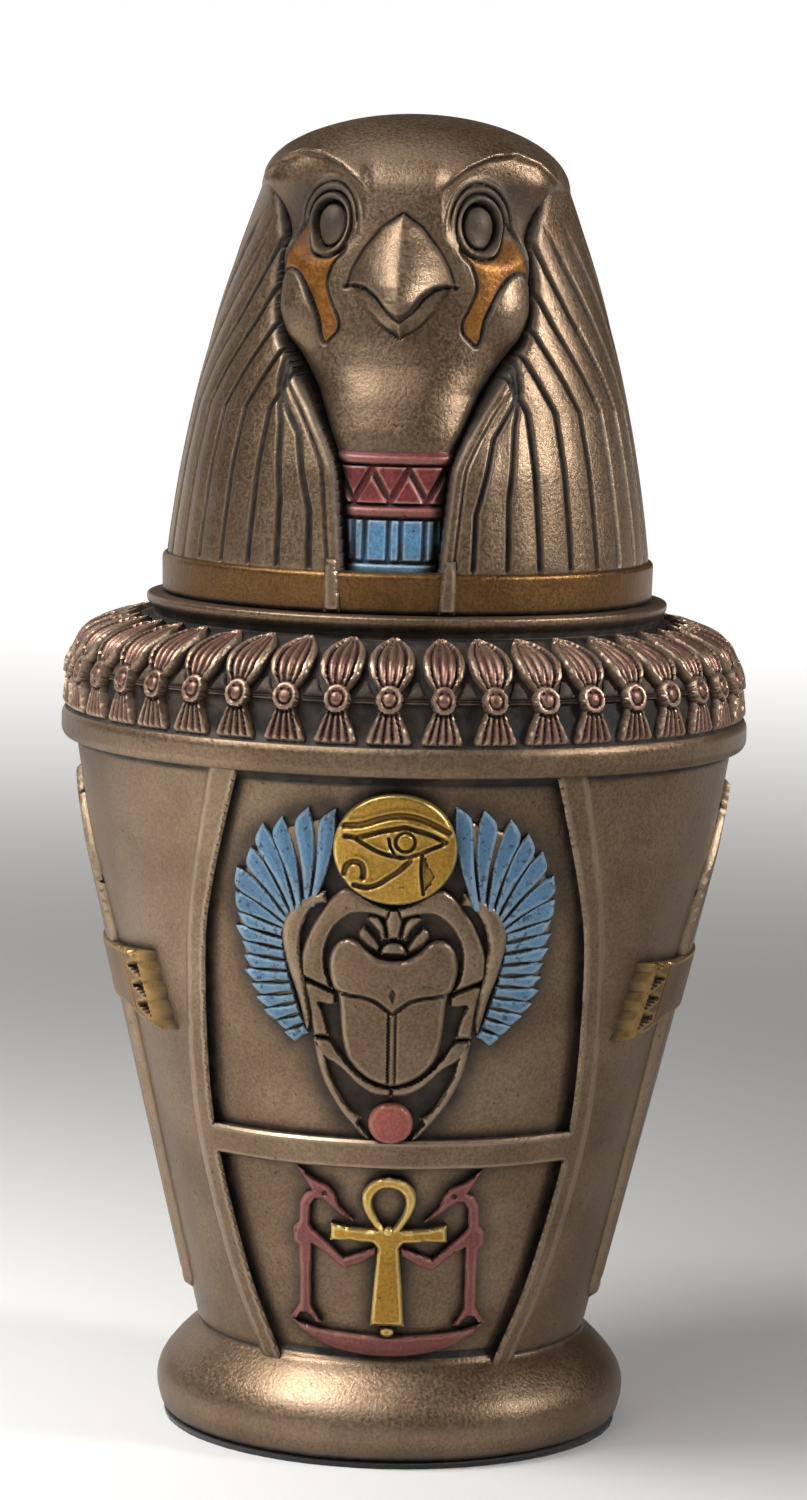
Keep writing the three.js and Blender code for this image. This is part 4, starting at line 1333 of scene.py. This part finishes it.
def painted_resin(name, look, tone):
    """Cold-cast resin: a metal-bearing coat, dark antiquing rubbed off the high points, painted
    shade in the hollows, fine grain.

    tone is its main colour. look holds tones (of which the second clouds the first), bright
    (rubbed edges), wash (the dark tone of the antiquing and the painted shade in recesses),
    metallic, roughness, and how far each of wear, antiquing with painted shade, and grain goes.
    paints adds areas of enamel that the mesh's masks choose.
    """
    material = bpy.data.materials.new(name)
    material.use_nodes = True
    tree = material.node_tree
    shader = tree.nodes["Principled BSDF"]
    node = partial(add, tree)
    place = node(SCALED, node("ShaderNodeTexCoord", out="Object"), Scale=1 / MM)
    patch = node(NOISE, place, 1 / PATCH, 3, 0.55)
    grain = node(NOISE, place, 1 / GRAIN, 2, 0.7)
    hollow = node(mask("hollow"), out="Fac")

    clouds = node(SPREAD, node(NOISE, place, 1 / CLOUD, 3, 0.55), 0.25, 0.75)
    base = node(MIXED, clouds, (*tone, 1.0), rgba(look["tones"][1]))
    base, metal = painted_areas(node, look, base, hollow, patch)
    speckle = node(SPREAD, grain, 0.3, 0.7, 1 - look["grain"], 1 + look["grain"])
    base = node(TINTED, 1.0, base, node("ShaderNodeCombineColor", speckle, speckle, speckle))
    uneven = node(SPREAD, patch, 0.35, 0.65, 0.7, 1.15)
    worn = node(TIMES_HELD, node(SPREAD, hollow, -0.02, -look["edge"]), uneven)
    base = node(MIXED, node(TIMES, worn, look["wear"]), base, rgba(look["bright"]))

    dark = wash_and_shade_share(node, look, place, hollow, patch)
    rough = look["roughness"]
    rough = node(PLUS, node(SPREAD, grain, 0.3, 0.7, rough - 0.06, rough + 0.08),
                 node(SPREAD, dark, 0, 1, 0, 0.25))
    streak = node(NOISE, node("ShaderNodeMapping", place, Scale=(1, 1, 0.06)), 1 / BRUSH_MARK, 2,
                  0.55)
    lumps = node(PLUS, node(TIMES, grain, look["grain_depth"]), node(TIMES, streak, look["streak"]))
    lumps = node(PLUS, lumps, node(TIMES, patch, look["ripple"]))
    # The dark share mixes in the tone of the antiquing and of the painted shade.
    ends = {"Base Color": node(MIXED, dark, base, rgba(look["wash_and_shade"])),
            "Metallic": node(TIMES, metal, node(SPREAD, dark, 0, 1, 1, 0.15)),
            "Roughness": rough,
            "Normal": node("ShaderNodeBump", Strength=1.0, Distance=MM, Height=lumps)}
    for socket, value in ends.items():
        tree.links.new(value, shader.inputs[socket])
    return material


def finish(name, tone):
    """The named finish, made the first time it is asked for."""
    return bpy.data.materials.get(name) or painted_resin(name, LOOKS[name], tone)


def pressed_felt():
    """Black wool felt, pressed: matt, with a faint fuzz of paler fibres at grazing angles."""
    material = bpy.data.materials.new("wool_felt_pressed")
    material.use_nodes = True
    tree = material.node_tree
    shader = tree.nodes["Principled BSDF"]
    node = partial(add, tree)
    place = node(SCALED, node("ShaderNodeTexCoord", out="Object"), Scale=1 / MM)
    fibre = node(NOISE, node("ShaderNodeMapping", place, Scale=(1, 1, 3)), 1 / GRAIN, 4, 0.55)
    colour = node(MIXED, fibre, rgba("#0f0f12"), rgba("#2c2b2e"))
    tree.links.new(colour, shader.inputs["Base Color"])
    bump = node("ShaderNodeBump", Strength=1.0, Distance=0.2 * MM, Height=fibre)
    tree.links.new(bump, shader.inputs["Normal"])
    shader.inputs["Roughness"].default_value = 0.95
    shader.inputs["Sheen Weight"].default_value = 0.3
    shader.inputs["Sheen Roughness"].default_value = 0.5
    return material


# ---------------------------------------------------------------- stage

CAMERA = {"distance": 0.700, "height": 0.182, "azimuth": 1.0, "target_z": 0.0995,
          "lens": 114.86, "roll": 1.3}


def place_camera(context):
    data = bpy.data.cameras.new("camera")
    data.sensor_fit = "VERTICAL"
    data.sensor_height = 36
    data.lens = CAMERA["lens"]
    turn = math.radians(CAMERA["azimuth"])
    away = CAMERA["distance"]
    eye = Vector((away * math.sin(turn), -away * math.cos(turn), CAMERA["height"]))
    look = Vector((0, 0, CAMERA["target_z"])) - eye
    camera = bpy.data.objects.new("camera", data)
    aim = look.to_track_quat("-Z", "Y").to_matrix().to_4x4()
    roll = Matrix.Rotation(math.radians(CAMERA["roll"]), 4, "Z")
    camera.matrix_world = Matrix.Translation(eye) @ aim @ roll
    context.scene.collection.objects.link(camera)
    context.scene.camera = camera


# Place, size, power, aim and spread in degrees of each softbox, high and near the jar.
SOFTBOXES = {
    "key": ((-0.5, -0.2, 0.7), (0.35, 0.35), 3.6, (-0.38, -0.14, 0), 70),
    "front": ((-0.4, -0.48, 0.7), (0.8, 0.7), 1.5, (-0.12, -0.2, 0.05), 90),
    "right": ((0.75, -0.2, 0.6), (0.2, 0.3), 0.18, (0, 0, 0.175), 18),
    "top": ((-0.1, 0.1, 0.95), (0.4, 0.3), 0.6, (0, 0, 0.1), 180),
    "back": ((-0.5, 0.75, 0.3), (0.5, 0.4), 0.6, (0, 0, 0.1), 180),
}


def softbox(name, place, size, power, aim, degrees):
    data = bpy.data.lights.new(name, "AREA")
    data.shape = "RECTANGLE"
    data.size, data.size_y = size
    data.energy = power
    data.spread = math.radians(degrees)
    lamp = bpy.data.objects.new(name, data)
    look = (Vector(aim) - Vector(place)).to_track_quat("-Z", "Y")
    lamp.matrix_world = Matrix.Translation(place) @ look.to_matrix().to_4x4()
    bpy.context.scene.collection.objects.link(lamp)


FLOOR_HALF = 6.0
FLOOR_GLOW = (0.3, 1.3, 0.12, 1.0)  # from and to a distance, its glow there


def pale_floor():
    """A paper sheet, which glows away from the jar as if it curved up, so it has no horizon."""
    mesh = bpy.data.meshes.new("floor")
    half = FLOOR_HALF
    corners = [(-half, -half, 0), (half, -half, 0), (half, half, 0), (-half, half, 0)]
    mesh.from_pydata(corners, [], [(0, 1, 2, 3)])
    material = bpy.data.materials.new("floor_paper_matt")
    material.use_nodes = True
    tree = material.node_tree
    shader = tree.nodes["Principled BSDF"]
    shader.inputs["Base Color"].default_value = rgba("#bdbcba")
    shader.inputs["Roughness"].default_value = 0.95
    shader.inputs["Emission Color"].default_value = rgba("#ffffff")
    away = add(tree, LENGTH, add(tree, "ShaderNodeTexCoord", out="Object"))
    tree.links.new(add(tree, SPREAD, away, *FLOOR_GLOW), shader.inputs["Emission Strength"])
    mesh.materials.append(material)
    floor = bpy.data.objects.new("floor", mesh)
    bpy.context.scene.collection.objects.link(floor)


def studio_world(scene):
    """White seen directly, and a dimmer surround for what the jar reflects."""
    world = bpy.data.worlds.new("studio")
    scene.world = world
    world.use_nodes = True
    tree = world.node_tree
    tree.nodes.clear()
    seen = add(tree, "ShaderNodeBackground", rgba("#ffffff"), 1.0)
    around = add(tree, "ShaderNodeBackground", rgba("#f0dcc8"), 0.08)
    ray = add(tree, "ShaderNodeLightPath", out="Is Camera Ray")
    add(tree, "ShaderNodeOutputWorld", add(tree, "ShaderNodeMixShader", ray, around, seen))


# ---------------------------------------------------------------- add-on

def relief_height(label, key):
    return bpy.props.FloatProperty(
        name=label, description=f"How far the {label.lower()} stands out of the wall",
        default=HEIGHT[key] * MM, min=0, soft_max=4 * MM, unit="LENGTH", precision=5)


class CanopicRelief(bpy.types.PropertyGroup):
    """Heights of the ornaments above the jar's wall."""

    strap: relief_height("Panel frame", "strap")
    side_bar: relief_height("Side bar", "side_bar")
    side_clip: relief_height("Side clip", "side_clip")
    feather: relief_height("Feather", "feather")
    leg: relief_height("Beetle's leg", "leg")
    shell: relief_height("Beetle's shell", "shell")
    disc: relief_height("Sun disc", "disc")
    ball: relief_height("Ball", "ball")
    ankh: relief_height("Ankh", "ankh")
    figure: relief_height("Heron and boat", "figure")


def main_tone(label, finish_name):
    return bpy.props.FloatVectorProperty(
        name=label, description=f"Main colour of {finish_name.replace('_', ' ')}",
        subtype="COLOR", default=linear(LOOKS[finish_name]["tones"][0]), min=0, max=1)


class CanopicColours(bpy.types.PropertyGroup):
    """Main colours of the finishes."""

    bronze: main_tone("Bronze", "bronze_resin_cast")
    gilt: main_tone("Gilt", "gilt_paint_brushed")
    old_gilt: main_tone("Old gilt", "old_gilt_rubbed")
    blue: main_tone("Blue", "blue_enamel_brushed")
    red: main_tone("Red", "red_lacquer_brushed")
    coral: main_tone("Coral", "coral_lacquer_brushed")
    flowers: main_tone("Flowers", "bronze_resin_red_washed")


def read_heights(context):
    """Takes the heights that the sidebar gives."""
    sizes = context.scene.canopic_relief
    for key in HEIGHT:
        HEIGHT[key] = getattr(sizes, key) / MM


class JarBody(bpy.types.Operator):
    """Turn the hollow jar with its foot, sunk panels, band, shoulder and rim"""

    bl_idname = "canopic.jar_body"
    bl_label = "Jar body"

    def execute(self, context):
        colours = context.scene.canopic_colours
        jar_body(finish("bronze_resin_cast", colours.bronze))
        return {"FINISHED"}


class PanelFrames(bpy.types.Operator):
    """Lay the straps and crossbars over the front and the back"""

    bl_idname = "canopic.panel_frames"
    bl_label = "Panel frames"

    def execute(self, context):
        colours = context.scene.canopic_colours
        read_heights(context)
        panel_frames(finish("bronze_resin_cast", colours.bronze))
        return {"FINISHED"}


class SideOrnaments(bpy.types.Operator):
    """Set a pointed bar with its clip on each side"""

    bl_idname = "canopic.side_ornaments"
    bl_label = "Side bars and clips"

    def execute(self, context):
        colours = context.scene.canopic_colours
        read_heights(context)
        side_bars(finish("bronze_resin_cast", colours.bronze))
        side_clips(finish("old_gilt_rubbed", colours.old_gilt))
        return {"FINISHED"}


class WingedScarab(bpy.types.Operator):
    """Model the beetle with its wings, sun disc and ball"""

    bl_idname = "canopic.winged_scarab"
    bl_label = "Winged scarab"

    def execute(self, context):
        colours = context.scene.canopic_colours
        read_heights(context)
        wings(finish("blue_enamel_brushed", colours.blue))
        wing_backs(finish("bronze_resin_cast", colours.bronze))
        scarab(finish("bronze_resin_cast", colours.bronze))
        sun_disc(finish("gilt_paint_brushed", colours.gilt))
        scarab_ball(finish("coral_lacquer_brushed", colours.coral))
        return {"FINISHED"}


class AnkhPanel(bpy.types.Operator):
    """Model the ankh between its two herons and the boat under them"""

    bl_idname = "canopic.ankh_panel"
    bl_label = "Ankh, herons and boat"

    def execute(self, context):
        colours = context.scene.canopic_colours
        read_heights(context)
        ankh(finish("gilt_paint_brushed", colours.gilt))
        herons_and_boat(finish("red_lacquer_brushed", colours.red))
        return {"FINISHED"}


class LotusFrieze(bpy.types.Operator):
    """Set the ring of lotus flowers on the shoulder"""

    bl_idname = "canopic.lotus_frieze"
    bl_label = "Lotus frieze"

    def execute(self, context):
        colours = context.scene.canopic_colours
        lotus_frieze(finish("bronze_resin_red_washed", colours.flowers))
        return {"FINISHED"}


class FalconLid(bpy.types.Operator):
    """Carve the falcon's head with its wig, and turn its band and plug"""

    bl_idname = "canopic.falcon_lid"
    bl_label = "Falcon lid"

    def execute(self, context):
        colours = context.scene.canopic_colours
        lid_face(finish("bronze_resin_painted", colours.bronze))
        lid_wig(finish("bronze_resin_cast", colours.bronze))
        lid_band(finish("old_gilt_rubbed", colours.old_gilt))
        lid_plug(finish("bronze_resin_cast", colours.bronze))
        lappet_ends(finish("bronze_resin_cast", colours.bronze))
        return {"FINISHED"}


class FeltPad(bpy.types.Operator):
    """Cut the felt under the foot"""

    bl_idname = "canopic.felt_pad"
    bl_label = "Felt pad"

    def execute(self, context):
        felt_pad(pressed_felt())
        return {"FINISHED"}


class Stage(bpy.types.Operator):
    """Set up the floor, the lights and the camera"""

    bl_idname = "canopic.stage"
    bl_label = "Stage"

    def execute(self, context):
        pale_floor()
        studio_world(context.scene)
        for name, settings in SOFTBOXES.items():
            softbox(name, *settings)
        context.scene.view_settings.view_transform = "Standard"
        place_camera(context)
        return {"FINISHED"}


STEPS = (Stage, JarBody, PanelFrames, SideOrnaments, WingedScarab, AnkhPanel, LotusFrieze,
         FalconLid, FeltPad)


class CanopicPanel(bpy.types.Panel):
    """Steps and sizes of the canopic jar"""

    bl_idname = "CANOPIC_PT_steps"
    bl_label = "Canopic jar"
    bl_space_type = "VIEW_3D"
    bl_region_type = "UI"
    bl_category = "Canopic jar"

    def draw(self, context):
        for step in STEPS:
            self.layout.operator(step.bl_idname)
        for group in (context.scene.canopic_relief, context.scene.canopic_colours):
            box = self.layout.box()
            for key in group.bl_rna.properties.keys():
                if key not in ("rna_type", "name"):
                    box.prop(group, key)


CLASSES = (CanopicRelief, CanopicColours, *STEPS, CanopicPanel)


def register():
    for cls in CLASSES:
        bpy.utils.register_class(cls)
    bpy.types.Scene.canopic_relief = bpy.props.PointerProperty(type=CanopicRelief)
    bpy.types.Scene.canopic_colours = bpy.props.PointerProperty(type=CanopicColours)


def unregister():
    del bpy.types.Scene.canopic_colours
    del bpy.types.Scene.canopic_relief
    for cls in reversed(CLASSES):
        bpy.utils.unregister_class(cls)


def main():
    register()
    for step in STEPS:
        getattr(bpy.ops.canopic, step.bl_idname.removeprefix("canopic."))()


if __name__ == "__main__":
    main()
